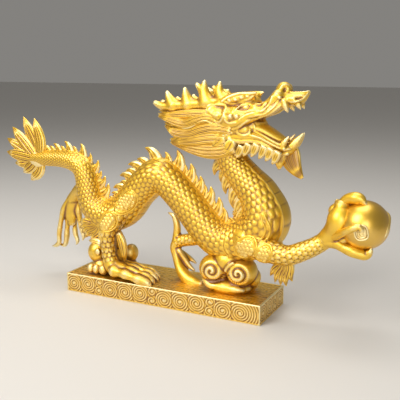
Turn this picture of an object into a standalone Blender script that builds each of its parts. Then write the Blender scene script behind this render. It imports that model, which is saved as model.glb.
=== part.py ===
"""Chinese dragon ornament on a rectangular plinth, holding a smooth pearl in its raised claw.

Metres, +Z up. The origin is the centre of the plinth's underside, +X runs towards the head
and the pearl, and the viewer's side is -Y. The dragon with its cloud supports is one
casting: tapered tubes and rounded lumps along hand-set paths, fused into one skin. The
plinth and the pearl are solids of their own, each a hair's breadth away from the dragon.
"""

import math

import bmesh
import bpy
from mathutils import Matrix, Vector

# Paths are lists of (x, y, z, radius) in millimetres, and MM turns them into metres.
MM = 0.001

# Plinth, in metres
PLINTH_LENGTH = 0.200
PLINTH_DEPTH = 0.059
PLINTH_HEIGHT = 0.0176
PLINTH_EDGE = 0.0012
SCROLL_COUNT_LONG = 10
SCROLL_COUNT_END = 3
SCROLL_SPREAD = 0.95
SCROLL_RADIUS = 0.0068
SCROLL_RAISE = 0.0006
SCROLL_SIDES = 10
BOSS_RADIUS = 0.0030
BOSS_RAISE = 0.0010
BOSS_SIDES = 6

# Clearances of the dragon from the plinth and from the pearl, in metres
PLINTH_GAP = 0.0003
PEARL_GAP = 0.0006

# Pearl, in metres
PEARL_RADIUS = 0.0196
PEARL_CENTRE = Vector((0.178, -0.008, 0.0913))
PEARL_RINGS = 12
SOCKET_RINGS = 14

# Skin of the casting
SKIN_VOXEL = 0.0009
DRAGON_TRIANGLES = 6860
WELD_DISTANCE = 0.000001
TUBE_RING_RESOLUTION = 4
TUBE_STEPS = 6
LUMP_SEGMENTS = 24
LUMP_RINGS = 14

# Centre line of the body, from the root of the tail fin to the back of the skull
SPINE = [
    (-160.3, 0, 122.4, 5.6), (-141.0, 0, 123.1, 7.8), (-124.7, 0, 123.7, 8.5),
    (-110.1, 0, 122.6, 9.8), (-99.5, 0, 117.9, 10.9), (-93.9, 0, 108.4, 11.7),
    (-90.9, 0, 93.8, 13.0), (-85.5, 0, 80.3, 14.3), (-70.6, 0, 71.9, 16.0),
    (-49.6, 0, 79.9, 16.2), (-33.6, 0, 98.8, 15.9), (-16.0, 0, 113.9, 16.4),
    (-3.3, 0, 112.6, 16.2), (17.2, 0, 94.0, 16.3), (41.3, 0, 67.8, 17.0),
    (58.1, 0, 61.6, 17.7), (80.0, 0, 68.0, 20.0), (92.6, 0, 84.6, 21.2),
    (86.3, 0, 103.9, 17.8), (74.4, 0, 117.8, 14.8), (64.0, 0, 129.2, 13.4),
    (58.3, 0, 141.0, 13.0), (58.0, 0, 155.0, 13.5), (60.0, 0, 170.0, 13.0),
]

# Crest along the back: tall and short spikes in turn, smaller where the body is thin
CREST_STEPS = 40
CREST_PITCH = 6.6
CREST_START = 8.0
CREST_END = 0.9
CREST_TALL = 10.8
CREST_SHORT = 6.4
CREST_LEAN = 0.58
CREST_SINK = 2.5
CREST_FLAT = 0.7
CREST_FULL_RADIUS = 14.0
# Radii at a spike's root, middle and tip, and where the middle stands and leans
CREST_RADII = (4.2, 2.9, 0.9)
CREST_MIDDLE_HEIGHT = 0.4
CREST_MIDDLE_LEAN = 0.2
# Stretches with low spikes: (knot of the spine, knots on either side, least share)
CREST_DIPS = [(8.3, 2.0, 0.1), (15.3, 2.0, 0.3)]

# Tail fin: (angle in degrees from +X, length, sideways bow) of each pointed lobe
FIN_ROOT = (-154.0, 0, 121.5)
FIN_ROOT_RADII = (12, 5.5, 10)
FIN_FLAT = 0.5
FIN_LOBES = [
    (93, 41, -6), (111, 45, -2), (135, 44, 0), (154, 43.5, 0), (173, 41, 0), (192, 31, 1),
    (218, 25, 1), (246, 25, 5),
]
# A lobe's profile: (share of its length, share of its bow, radius)
FIN_PROFILE = [(0.0, 0.6, 5.0), (0.35, 1.0, 6.8), (0.68, 0.6, 5.4), (1.0, 0.0, 0.9)]

# Near hind leg, which stands on the plinth
HIND_LEG_NEAR = [
    (-45.0, -8, 84.0, 9.0), (-56.0, -14, 71.0, 11.0), (-59.0, -18, 60.0, 8.2),
    (-58.4, -18, 48.0, 7.2), (-57.0, -18, 37.0, 7.4), (-52.5, -19, 28.0, 8.0),
    (-42.0, -20, 25.2, 6.8),
]
HEEL_KNOBS = [
    (-78.0, -19.5, 22.6, 3.8, 4.4, 4.8), (-71.4, -20.0, 22.8, 3.8, 4.4, 5.0),
    (-63.6, -20.0, 23.4, 4.8, 4.8, 5.4),
]
# Toes of the near hind foot: root, tip of the claw and thickness
NEAR_TOES = [
    ((-48.0, -24.0, 25.4), (-6.8, -27.0, 17.9), 4.3),
    ((-46.0, -20.0, 27.0), (-7.0, -20.5, 17.9), 3.5),
    ((-46.0, -14.0, 28.0), (-7.4, -13.0, 17.9), 3.3),
    ((-46.0, -9.0, 28.0), (-9.6, -6.0, 17.9), 3.1),
]
# Thickness of a toe along its length, and how late it turns down to its claw
TOE_SWELL = [(0.0, 1.3), (0.3, 1.0), (0.6, 0.95), (0.82, 1.0), (0.93, 0.75), (1.0, 0.25)]
TOE_ARCH = 3.5

# Far hind leg, which kicks back under the tail, and its hanging claws
HIND_LEG_FAR = [
    (-94.0, 5, 93.0, 11.5), (-107.0, 9, 91.5, 8.8), (-117.0, 12, 85.0, 6.8),
    (-124.0, 14, 77.5, 5.8), (-127.0, 14, 70.0, 5.6),
]
FAR_WEB = (-126.0, 14.0, 70.0, 9.0, 5.0, 9.0)
FAR_TOE_RADII = (4.4, 3.0, 2.8, 2.8, 1.2)
FAR_TOES = [
    [(-127, 12, 76), (-135.8, 11, 59), (-139.6, 10.5, 43), (-140.2, 10.4, 33.5), (-149, 9.5, 28.5)],
    [(-128, 14, 68), (-131.8, 14.5, 50.5), (-133.4, 14.5, 38), (-135.6, 14.2, 30), (-140, 13.5, 29.6)],
    [(-122, 17, 67), (-124.8, 18, 52), (-124.6, 18, 43), (-121.6, 17.5, 35.5), (-123.4, 17, 31.4)],
    [(-118, 14, 68), (-114.6, 14, 57), (-112.8, 13.5, 49), (-110.4, 13, 43), (-111.6, 12.5, 38.4)],
]

# Far fore leg, bent back under the belly with its elbow spur pointing up
FORE_LEG_FAR = [
    (34.0, 6, 58.0, 9.0), (25.0, 8, 58.2, 6.8), (15.0, 8.5, 55.6, 6.0), (4.6, 8.5, 52.8, 5.8),
    (-0.4, 7, 47.4, 4.9), (1.3, 5.5, 39.8, 3.9), (4.6, 4.5, 31.4, 4.3), (9.5, 3, 24.6, 5.4),
    (17.0, 1, 19.5, 6.2), (24.5, 0, 17.8, 5.6), (29.5, 0, 17.6, 3.6),
]
ELBOW_SPUR = [
    (0.2, 8, 50.5, 4.6), (0.7, 9, 60.0, 3.8), (0.7, 9, 68.0, 3.4), (-2.3, 9, 76.2, 2.6),
    (-8.2, 9, 78.6, 1.1),
]
FAR_PAW_TOES = [
    [(4.6, 6, 44.0, 3.0), (9.0, 8, 36.4, 2.6), (16.4, 9, 28.0, 2.2), (23.6, 9, 24.4, 1.2)],
    [(5.0, 9, 42.0, 2.8), (13.8, 14, 34.1, 2.2), (20.6, 15, 29.6, 1.1)],
]

# Near fore leg, stretched out to hold the pearl, and the palm behind the pearl
FORE_LEG_NEAR = [
    (78.0, -9, 69.0, 16.5), (100.5, -15, 62.4, 10.2), (117.5, -17, 60.6, 8.5),
    (131.0, -16, 65.8, 8.0), (142.0, -14, 71.8, 7.4), (150.0, -12.5, 78.0, 7.2),
]
PALM = [
    [(146.0, -13, 75.4, 7.0), (153.6, -12, 81.6, 7.4), (156.2, -10.5, 90.0, 8.6),
     (157.4, -9.5, 98.0, 8.6), (161.6, -9, 104.0, 6.6)],
    [(152.0, -16, 81.0, 6.6), (157.4, -18.5, 88.0, 6.6), (160.6, -18, 97.0, 6.2),
     (165.0, -14, 105.0, 5.0)],
]
# Fingers on the pearl: top, front, back and lower one
FINGERS = [
    [(155.0, -11, 101.0, 5.6), (160.8, -12, 109.6, 5.0), (166.6, -12.5, 112.0, 4.6),
     (171.6, -13, 112.4, 5.4), (177.6, -13.6, 111.2, 4.0), (183.4, -14.4, 108.6, 1.2)],
    [(154.0, -20, 80.0, 5.0), (161.0, -25, 83.8, 3.6), (169.0, -28.4, 87.6, 3.2),
     (176.0, -30.0, 90.4, 3.2), (180.0, -29.4, 88.4, 4.2), (183.4, -27.4, 83.0, 3.2)],
    [(155.6, -6, 96.0, 7.4), (161.6, 4, 101.6, 6.0), (170.0, 9.6, 106.0, 4.4), (180.0, 10, 106.6, 3.4),
     (189.0, 7.4, 102.0, 2.9), (194.2, 4.6, 93.6, 2.6), (194.2, 2.8, 84.6, 1.2)],
    [(148.0, -14, 77.0, 6.4), (158.0, -14, 74.0, 4.8), (167.0, -14.2, 71.4, 4.2),
     (174.0, -14.6, 69.6, 5.0), (181.6, -15.0, 68.6, 4.8), (188.0, -16.2, 75.2, 1.4)],
]

# Fur under the near elbow: tips of the hanging locks
ELBOW_FUR_ROOT = (114.0, -16, 60.0)
ELBOW_FUR_TIPS = [
    (103.0, -15, 40.5), (109.0, -17, 35.8), (116.0, -18, 34.5), (123.0, -16, 38.6),
]
ELBOW_FUR_THICK = 4.8
ELBOW_FUR_WAVE = 0.8

# Cloud supports: lumps as (x, y, z, radius in x, y, z)
FRONT_CLOUD = [
    (47.5, -5, 36.8, 15.0, 14.6, 13.0), (73.0, -5, 37.4, 14.0, 14.6, 13.0),
    (60.0, -3, 45.0, 14.5, 13.5, 12.0), (60.0, -3, 22.0, 21.5, 14.5, 7.6),
    (84.0, -3, 29.0, 5.6, 8.0, 6.6), (77.0, 5, 28.0, 8.0, 8.0, 12.0),
]
REAR_CLOUD = [
    (-76.0, -11, 37.0, 10.0, 8.6, 10.5), (-71.5, -11, 24.5, 8.6, 8.5, 7.5),
    (-47.4, 4, 36.0, 6.8, 8.0, 8.8), (-52.0, 2, 23.5, 11.0, 11.0, 8.5),
    (-62.0, -3, 50.0, 10.0, 9.0, 11.0), (-62.0, -3, 30.0, 12.0, 11.0, 14.0),
]
# Raised spirals: (centre x, y, z, outer radius, direction of turn)
CLOUD_SPIRALS = [
    (49.0, -18.4, 37.6, 8.4, 1), (74.0, -18.4, 38.6, 7.8, -1), (-72.0, -18.4, 39.0, 4.2, 1),
]
SPIRAL_TURNS = 1.6
SPIRAL_POINTS = 12
SPIRAL_SHRINK = 0.82
SPIRAL_RADIUS = 1.5

# Leaf on the near calf, cloud tail and flame tuft behind the hip
LEAVES = [
    [(-50.0, -14, 59.6, 2.4), (-46.0, -15, 53.5, 5.0), (-43.0, -15, 45.0, 4.8), (-41.0, -13.5, 34.0, 1.8)],
    [(-74.0, -12, 46.8, 4.2), (-80.0, -12, 47.6, 3.6), (-87.0, -12, 46.4, 1.0)],
]
LEAF_FLAT = 0.7
FLAME_ROOT = (-72.0, -10, 66.0)
FLAME_TIPS = [
    (-99.4, -8, 63.2), (-98.6, -9, 57.6), (-95.4, -10, 53.4), (-90.4, -11, 49.4), (-82.0, -11, 46.2),
]
FLAME_THICK = 5.2
FLAME_WAVE = 1.2
FUR_FLAT = 0.8

# Skull and jaws
SKULL_LUMPS = [
    (60.0, 0, 172.5, 17.0, 15.5, 16.0), (74.0, 0, 181.0, 14.0, 13.0, 10.5),
    (106.2, 0, 193.0, 6.6, 8.6, 7.6), (66.0, 0, 154.0, 12.0, 15.0, 9.0),
    (77.0, 0, 163.5, 11.5, 12.5, 9.5),
]
UPPER_JAW = [
    (62, 0, 172, 12.0), (76, 0, 176, 9.0), (88, 0, 177.4, 6.6), (98, 0, 183.4, 6.4),
    (106, 0, 188.6, 5.2), (112, 0, 190.2, 3.6),
]
LOWER_JAW = [
    (62, 0, 154, 8.0), (78, 0, 153.0, 5.8), (90, 0, 151.2, 4.8), (101, 0, 147.6, 4.3),
    (111, 0, 145.2, 4.6), (115.6, 0, 147.2, 3.4),
]
JAW_WIDTH = 1.75
FRONT_LIP = [(107, 0, 190.0, 4.0), (114, 0, 190.8, 4.0), (121, 0, 191.6, 3.0), (128, 0, 192.0, 0.9)]
FRONT_LIP_WIDTH = 1.6
# Pieces that come in a near and a far copy, written for the far side (+Y)
LIP = [
    (112.4, 7, 187.0, 2.4), (104.0, 10, 180.8, 3.0), (93.0, 12, 173.8, 3.4),
    (80.3, 15, 169.6, 3.8), (68.0, 16, 163.2, 3.8), (52.0, 16, 167.0, 4.4), (37.0, 15, 167.5, 4.0),
]
JAW_RIM = [
    (66.2, 13, 154.0, 4.6), (78.0, 13, 155.8, 4.2), (90.0, 12, 154.6, 3.8),
    (101.0, 10, 149.6, 3.6), (110.0, 7, 145.6, 3.4), (115.0, 2, 146.2, 3.4),
]
BROW = [
    (58.0, 8, 183.0, 5.0), (69.0, 8, 188.5, 4.4), (79.0, 8, 190.0, 3.4), (90.6, 9, 194.2, 1.0),
]
EYE = (77.1, 10.5, 180.5, 3.8)
NOSTRIL = (105.6, 6.5, 194.0, 4.0)
EAR = [(57.0, 15, 180.0, 4.0), (50.0, 18, 177.5, 5.4), (54.0, 19, 171.5, 3.0)]
EAR_FLAT = 0.6
UPPER_FANG = [(109.6, 6.8, 187.0, 3.4), (110.4, 7.8, 181.4, 2.8), (111.5, 8.2, 177.2, 1.0)]
LOWER_FANG = [(107.6, 6.4, 149.4, 3.4), (110.0, 7.4, 153.4, 2.4), (113.2, 8.0, 158.4, 0.8)]
CHIN_FANG = [(112.0, 3.0, 148.6, 3.8), (115.8, 4.2, 153.6, 2.8), (121.0, 4.6, 160.0, 0.8)]

# Antlers: the beam lies at ANTLER_OFFSET from the middle, and each tine is a path of (x, z, radius)
ANTLER_OFFSET = 3.6
FAR_TINE_LENGTH = 0.66
ANTLER_BEAM = [
    (60.0, 184.4, 4.8), (48.4, 183.4, 4.6), (36.1, 181.4, 4.5), (21.6, 180.2, 4.4),
    (6.7, 179.2, 4.1), (-5.0, 178.4, 3.6), (-13.2, 181.2, 2.4),
]
TINES = [
    [(3.8, 178.4, 5.6), (2.2, 183.0, 4.4), (0.0, 188.0, 2.8), (-1.0, 190.6, 1.6)],
    [(19.2, 180.0, 6.0), (18.4, 185.4, 4.6), (17.2, 190.4, 3.0), (16.6, 194.0, 1.6)],
    [(37.4, 182.0, 6.4), (35.8, 188.0, 4.8), (34.8, 193.0, 3.8), (35.7, 200.6, 1.6)],
    [(34.8, 190.4, 3.8), (31.2, 194.6, 2.8), (28.0, 198.0, 1.6)],
    [(51.6, 185.2, 5.6), (49.4, 190.6, 4.2), (49.6, 195.4, 2.8), (50.4, 200.0, 1.5)],
    [(49.2, 190.0, 3.6), (46.6, 193.0, 2.6), (44.0, 196.0, 1.4)],
]

# Beard: broad hanging leaves under the chin, as (x, z, half width)
BEARD_LEAVES = [
    [(112.8, 149.0, 6.4), (113.6, 141.0, 8.0), (117.0, 133.0, 6.4), (125.2, 122.4, 0.9)],
    [(105.4, 146.0, 4.0), (106.0, 139.0, 4.6), (107.6, 129.4, 0.9)],
]
BEARD_FLAT = 0.45
# Fringe along the jaw: (x, z) of the tips, and how far from them the roots lie
FRINGE_TIPS = [
    (61.0, 139.5), (71.4, 141.6), (80.2, 143.0), (88.0, 142.4), (94.6, 139.4), (100.6, 136.4),
]
FRINGE_ROOT_X = 6.0
FRINGE_ROOT_Z = 9.0
FRINGE_ROOT_Y = 11.0
FRINGE_TIP_Y = 10.0
FRINGE_THICK = 3.3
FRINGE_FLAT = 0.7

# Mane: tips of the locks that stream back from the skull, from the top one down
MANE_CORE = [(58, 0, 166, 15.0), (36, 0, 160, 14.0), (14, 0, 161, 9.5), (-1, 0, 165, 5.0)]
MANE_CORE_FLAT = 0.9
MANE_LOW = [
    (66, 0, 147, 9.0), (52, 0, 144, 10.5), (38, 0, 145, 9.5), (20, 0, 146, 5.0), (3, 0, 147, 1.2),
]
MANE_LOW_FLAT = 1.25
MANE_TIPS = [
    (-6.5, 172.0), (-7.0, 167.0), (-11.5, 159.0), (1.0, 152.5), (12.0, 146.5), (28.0, 144.0),
    (46.0, 140.0), (60.0, 139.0),
]
MANE_ROOT_TOP = Vector((52.0, 0, 175.0))
MANE_ROOT_LOW = Vector((62.0, 0, 150.0))
MANE_SPREAD = 11.0
MANE_TIP_SPREAD = 8.8
MANE_THICK = 5.6
MANE_WAVE = 3.0
# The outer rows of locks are shorter than the middle one
MANE_INSET_X = 4.0
MANE_INSET_Z = 1.6

# Profile of a lock of fur: (share of its length, share of its thickness)
LOCK_PROFILE = [(0.0, 1.0), (0.35, 1.0), (0.7, 0.66), (1.0, 0.0)]
LOCK_POINT = 0.9

GOLD_COLOUR = (0.88, 0.55, 0.11, 1.0)
GOLD_ROUGHNESS = 0.38
PEARL_ROUGHNESS = 0.28


def clear_scene():
    """Remove every object of the open scene."""
    for obj in list(bpy.data.objects):
        bpy.data.objects.remove(obj, do_unlink=True)


def gold(name, roughness):
    """A gold Principled material."""
    material = bpy.data.materials.new(name)
    material.use_nodes = True
    shader = material.node_tree.nodes["Principled BSDF"]
    shader.inputs["Base Color"].default_value = GOLD_COLOUR
    shader.inputs["Metallic"].default_value = 1.0
    shader.inputs["Roughness"].default_value = roughness
    return material


def mesh_of(obj):
    """Turn an object into a plain mesh in world space and remove the object."""
    evaluated = obj.evaluated_get(bpy.context.evaluated_depsgraph_get())
    mesh = bpy.data.meshes.new_from_object(evaluated)
    mesh.transform(obj.matrix_world)
    bpy.data.objects.remove(obj, do_unlink=True)
    return mesh


def tube(points, flat=1.0):
    """A round tapered tube through points, its width in Y times flat."""
    curve = bpy.data.curves.new("tube", "CURVE")
    curve.dimensions = "3D"
    curve.bevel_depth = MM
    curve.bevel_resolution = TUBE_RING_RESOLUTION
    curve.resolution_u = TUBE_STEPS
    curve.use_fill_caps = True
    spline = curve.splines.new("BEZIER")
    spline.bezier_points.add(len(points) - 1)
    for knot, (x, y, z, radius) in zip(spline.bezier_points, points):
        knot.co = Vector((x, y / flat, z)) * MM
        knot.radius = radius
        knot.handle_left_type = knot.handle_right_type = "AUTO"
    obj = bpy.data.objects.new("tube", curve)
    bpy.context.collection.objects.link(obj)
    obj.scale = (1.0, flat, 1.0)
    bpy.context.view_layer.update()
    return mesh_of(obj)


def lump(centre, radii):
    """An ellipsoid."""
    mesh = bpy.data.meshes.new("lump")
    shape = bmesh.new()
    place = Matrix.Translation(Vector(centre) * MM) @ Matrix.Diagonal((*radii, 1.0))
    bmesh.ops.create_uvsphere(shape, u_segments=LUMP_SEGMENTS, v_segments=LUMP_RINGS, radius=MM,
                              matrix=place)
    shape.to_mesh(mesh)
    shape.free()
    return mesh


def lumps(rows):
    """Ellipsoids of rows that hold a centre and three radii."""
    return [lump(row[:3], row[3:]) for row in rows]


def mirrored(points):
    """The near copy of a path that is written for the far side."""
    return [(x, -y, *rest) for x, y, *rest in points]


def both_sides(points, flat=1.0):
    """A tube and its near copy."""
    return [tube(points, flat), tube(mirrored(points), flat)]


def lock(root, tip, thick, wave=0.0, flat=1.0):
    """A pointed lock of fur from root to tip that bows by wave in the XZ plane."""
    root, tip = Vector(root), Vector(tip)
    along = tip - root
    side = Vector((-along.z, 0, along.x)).normalized()
    path = []
    for part, swell in LOCK_PROFILE:
        centre = root + along * part + side * wave * math.sin(2 * math.pi * part)
        path.append((*centre, max(thick * swell, LOCK_POINT)))
    return tube(path, flat)


def toe(root, tip, thick):
    """A toe that runs out level from the foot and turns down to its claw."""
    root, tip = Vector(root), Vector(tip)
    path = []
    for part, swell in TOE_SWELL:
        centre = root.lerp(tip, part)
        centre.z = root.z + (tip.z - root.z) * part ** TOE_ARCH
        path.append((*centre, thick * swell))
    return tube(path)


def spiral(centre_x, centre_y, centre_z, outer, turn):
    """A raised spiral ridge that lies in a plane across Y."""
    path = []
    for i in range(SPIRAL_POINTS):
        part = i / (SPIRAL_POINTS - 1)
        angle = turn * 2 * math.pi * SPIRAL_TURNS * part
        reach = outer * (1 - SPIRAL_SHRINK * part)
        x = centre_x + reach * math.cos(angle)
        z = centre_z - reach * math.sin(angle)
        path.append((x, centre_y, z, SPIRAL_RADIUS))
    return tube(path)


def spine_at(part):
    """Point, tangent and radius of the spine at a share of its knots, all in millimetres."""
    place = part * (len(SPINE) - 1)
    index = min(int(place), len(SPINE) - 2)
    share = place - index
    before, here = Vector(SPINE[max(index - 1, 0)]), Vector(SPINE[index])
    there, after = Vector(SPINE[index + 1]), Vector(SPINE[min(index + 2, len(SPINE) - 1)])
    leave, arrive = (there - before) / 2, (after - here) / 2
    cube, square = share ** 3, share ** 2
    knot = (here * (2 * cube - 3 * square + 1) + leave * (cube - 2 * square + share)
            + there * (3 * square - 2 * cube) + arrive * (cube - square))
    slope = (here * (6 * square - 6 * share) + leave * (3 * square - 4 * share + 1)
             + there * (6 * share - 6 * square) + arrive * (3 * square - 2 * share))
    return knot.to_3d(), slope.to_3d().normalized(), knot.w


def spike(centre, along, radius, height):
    """A hooked spike of the crest that leans towards the tail."""
    outward = Vector((-along.z, 0, along.x))
    root = centre + outward * (radius - CREST_SINK)
    middle = centre + outward * (radius + height * CREST_MIDDLE_HEIGHT)
    middle -= along * height * CREST_LEAN * CREST_MIDDLE_LEAN
    tip = centre + outward * (radius + height) - along * height * CREST_LEAN
    path = [(*point, size) for point, size in zip((root, middle, tip), CREST_RADII)]
    return tube(path, CREST_FLAT)


def crest():
    """Spikes along the back, tall and short in turn."""
    steps = CREST_STEPS * (len(SPINE) - 1)
    spikes = []
    travelled, due = 0.0, CREST_START
    before = spine_at(0.0)[0]
    for i in range(1, int(steps * CREST_END)):
        centre, along, radius = spine_at(i / steps)
        travelled += (centre - before).length
        before = centre
        if travelled < due:
            continue
        due += CREST_PITCH
        share = min(1.0, radius / CREST_FULL_RADIUS)
        for low_at, span, least in CREST_DIPS:
            share = min(share, least + (1 - least) * abs(i / CREST_STEPS - low_at) / span)
        height = CREST_SHORT if len(spikes) % 2 else CREST_TALL
        spikes.append(spike(centre, along, radius, height * share))
    return spikes


def tail_fin():
    """The fan of pointed lobes at the end of the tail."""
    lobes = [lump(FIN_ROOT, FIN_ROOT_RADII)]
    for angle, length, bow in FIN_LOBES:
        turn = math.radians(angle)
        ray = Vector((math.cos(turn), 0, math.sin(turn)))
        side = Vector((-ray.z, 0, ray.x))
        path = []
        for part, swell, radius in FIN_PROFILE:
            path.append((*(Vector(FIN_ROOT) + ray * length * part + side * bow * swell), radius))
        lobes.append(tube(path, FIN_FLAT))
    return lobes


def fore_legs():
    """Both fore legs, the hand that holds the pearl and the fur under the elbow."""
    paths = [FORE_LEG_NEAR, FORE_LEG_FAR, ELBOW_SPUR, *FAR_PAW_TOES, *PALM, *FINGERS]
    pieces = [tube(path) for path in paths]
    for tip in ELBOW_FUR_TIPS:
        pieces.append(lock(ELBOW_FUR_ROOT, tip, ELBOW_FUR_THICK, ELBOW_FUR_WAVE, FUR_FLAT))
    return pieces


def hind_legs():
    """Both hind legs with their toes."""
    pieces = [tube(HIND_LEG_NEAR), tube(HIND_LEG_FAR)]
    pieces += lumps([*HEEL_KNOBS, FAR_WEB])
    pieces += [toe(root, tip, thick) for root, tip, thick in NEAR_TOES]
    for joints in FAR_TOES:
        pieces.append(tube([(*joint, radius) for joint, radius in zip(joints, FAR_TOE_RADII)]))
    return pieces


def clouds():
    """The scrolled cloud lumps that carry the chest and the hip, with leaves and flame."""
    pieces = lumps(FRONT_CLOUD + REAR_CLOUD)
    pieces += [spiral(*shape) for shape in CLOUD_SPIRALS]
    pieces += [tube(shape, LEAF_FLAT) for shape in LEAVES]
    pieces += [lock(FLAME_ROOT, tip, FLAME_THICK, FLAME_WAVE, FUR_FLAT) for tip in FLAME_TIPS]
    return pieces


def antlers():
    """The near and the far antler, each a beam with its tines."""
    pieces = []
    for place, length in ((-ANTLER_OFFSET, 1.0), (ANTLER_OFFSET, FAR_TINE_LENGTH)):
        pieces.append(tube([(x, place, z, radius) for x, z, radius in ANTLER_BEAM]))
        for path in TINES:
            foot_x, foot_z, _ = path[0]
            pieces.append(tube([
                (foot_x + (x - foot_x) * length, place, foot_z + (z - foot_z) * length, radius)
                for x, z, radius in path
            ]))
    return pieces


def head():
    """Skull, jaws, teeth, brows, ears, beard and jaw fringe."""
    pieces = lumps(SKULL_LUMPS)
    pieces += [tube(UPPER_JAW, JAW_WIDTH), tube(LOWER_JAW, JAW_WIDTH), tube(FRONT_LIP, FRONT_LIP_WIDTH)]
    for path in (LIP, JAW_RIM, BROW, UPPER_FANG, LOWER_FANG, CHIN_FANG):
        pieces += both_sides(path)
    pieces += both_sides(EAR, EAR_FLAT)
    for x, y, z, radius in (EYE, NOSTRIL):
        pieces += [lump((x, side * y, z), (radius,) * 3) for side in (-1, 1)]
    for leaf in BEARD_LEAVES:
        pieces.append(tube([(x, 0, z, width) for x, z, width in leaf], BEARD_FLAT))
    for x, z in FRINGE_TIPS:
        for side in (-1, 1):
            root = (x + FRINGE_ROOT_X, side * FRINGE_ROOT_Y, z + FRINGE_ROOT_Z)
            pieces.append(lock(root, (x, side * FRINGE_TIP_Y, z), FRINGE_THICK, flat=FRINGE_FLAT))
    return pieces


def mane():
    """Locks that stream back from the skull in a near, a middle and a far row."""
    pieces = [tube(MANE_CORE, MANE_CORE_FLAT), tube(MANE_LOW, MANE_LOW_FLAT)]
    for side in (-1, 0, 1):
        for i, (x, z) in enumerate(MANE_TIPS):
            root = MANE_ROOT_TOP.lerp(MANE_ROOT_LOW, i / (len(MANE_TIPS) - 1))
            root.y = side * MANE_SPREAD
            tip_x, tip_z = x + MANE_INSET_X * abs(side), z + MANE_INSET_Z * abs(side)
            pieces.append(lock(root, (tip_x, side * MANE_TIP_SPREAD, tip_z), MANE_THICK, MANE_WAVE))
    return pieces


def joined(name, meshes, material):
    """One object of many meshes, in the collection of the part."""
    whole = bmesh.new()
    for mesh in meshes:
        whole.from_mesh(mesh)
        bpy.data.meshes.remove(mesh)
    bmesh.ops.remove_doubles(whole, verts=whole.verts, dist=WELD_DISTANCE)
    result = bpy.data.meshes.new(name)
    whole.to_mesh(result)
    whole.free()
    result.materials.append(material)
    obj = bpy.data.objects.new(name, result)
    PART.objects.link(obj)
    return obj


def cutter(name, mesh):
    """A hidden shape that a Boolean takes away or adds."""
    obj = bpy.data.objects.new(name, mesh)
    CUTTERS.objects.link(obj)
    obj.hide_render = True
    obj.display_type = "WIRE"
    return obj


def boolean(obj, tool, operation):
    """A live EXACT Boolean on obj."""
    modifier = obj.modifiers.new(tool.name, "BOOLEAN")
    modifier.operation = operation
    modifier.solver = "EXACT"
    modifier.object = tool


def box_mesh(name, low, high, edge=0.0):
    """A box from corner to corner, its edges rounded by edge."""
    low, high = Vector(low), Vector(high)
    shape = bmesh.new()
    place = Matrix.Translation((low + high) / 2) @ Matrix.Diagonal((*(high - low), 1.0))
    bmesh.ops.create_cube(shape, size=1.0, matrix=place)
    if edge:
        bmesh.ops.bevel(shape, geom=shape.edges[:], offset=edge, segments=2, profile=0.5,
                        affect="EDGES")
    mesh = bpy.data.meshes.new(name)
    shape.to_mesh(mesh)
    shape.free()
    return mesh


def ball_mesh(name, radius, rings):
    """A ball at the pearl's place."""
    shape = bmesh.new()
    bmesh.ops.create_uvsphere(shape, u_segments=2 * rings, v_segments=rings, radius=radius,
                              matrix=Matrix.Translation(PEARL_CENTRE))
    mesh = bpy.data.meshes.new(name)
    shape.to_mesh(mesh)
    shape.free()
    return mesh


def make_dragon(material):
    """The casting: fused, thinned out, then cut flat at the plinth and hollow at the pearl."""
    pieces = [tube(SPINE)] + crest() + tail_fin() + fore_legs() + hind_legs()
    pieces += clouds() + head() + antlers() + mane()
    dragon = joined("dragon", pieces, material)
    skin = dragon.modifiers.new("skin", "REMESH")
    skin.mode = "VOXEL"
    skin.voxel_size = SKIN_VOXEL
    thin = dragon.modifiers.new("thin out", "DECIMATE")
    thin.use_collapse_triangulate = True
    fused = dragon.evaluated_get(bpy.context.evaluated_depsgraph_get())
    fused_mesh = fused.to_mesh()
    triangles = sum(len(face.vertices) - 2 for face in fused_mesh.polygons)
    fused.to_mesh_clear()
    thin.ratio = DRAGON_TRIANGLES / triangles
    reach = PLINTH_LENGTH
    seat = box_mesh("seat", (-reach, -reach, -reach), (reach, reach, PLINTH_HEIGHT + PLINTH_GAP))
    boolean(dragon, cutter("seat", seat), "DIFFERENCE")
    socket = ball_mesh("socket", PEARL_RADIUS + PEARL_GAP, SOCKET_RINGS)
    boolean(dragon, cutter("socket", socket), "DIFFERENCE")
    dragon.modifiers.new("triangles", "TRIANGULATE")
    return dragon


def disc(shape, centre, outward, radius, raise_by, sides):
    """Add a raised disc that stands on a face of the plinth."""
    place = Matrix.Translation(centre) @ outward.to_track_quat("Z", "Y").to_matrix().to_4x4()
    bmesh.ops.create_cone(shape, cap_ends=True, segments=sides, radius1=radius, radius2=radius,
                          depth=2 * raise_by, matrix=place)


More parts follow.
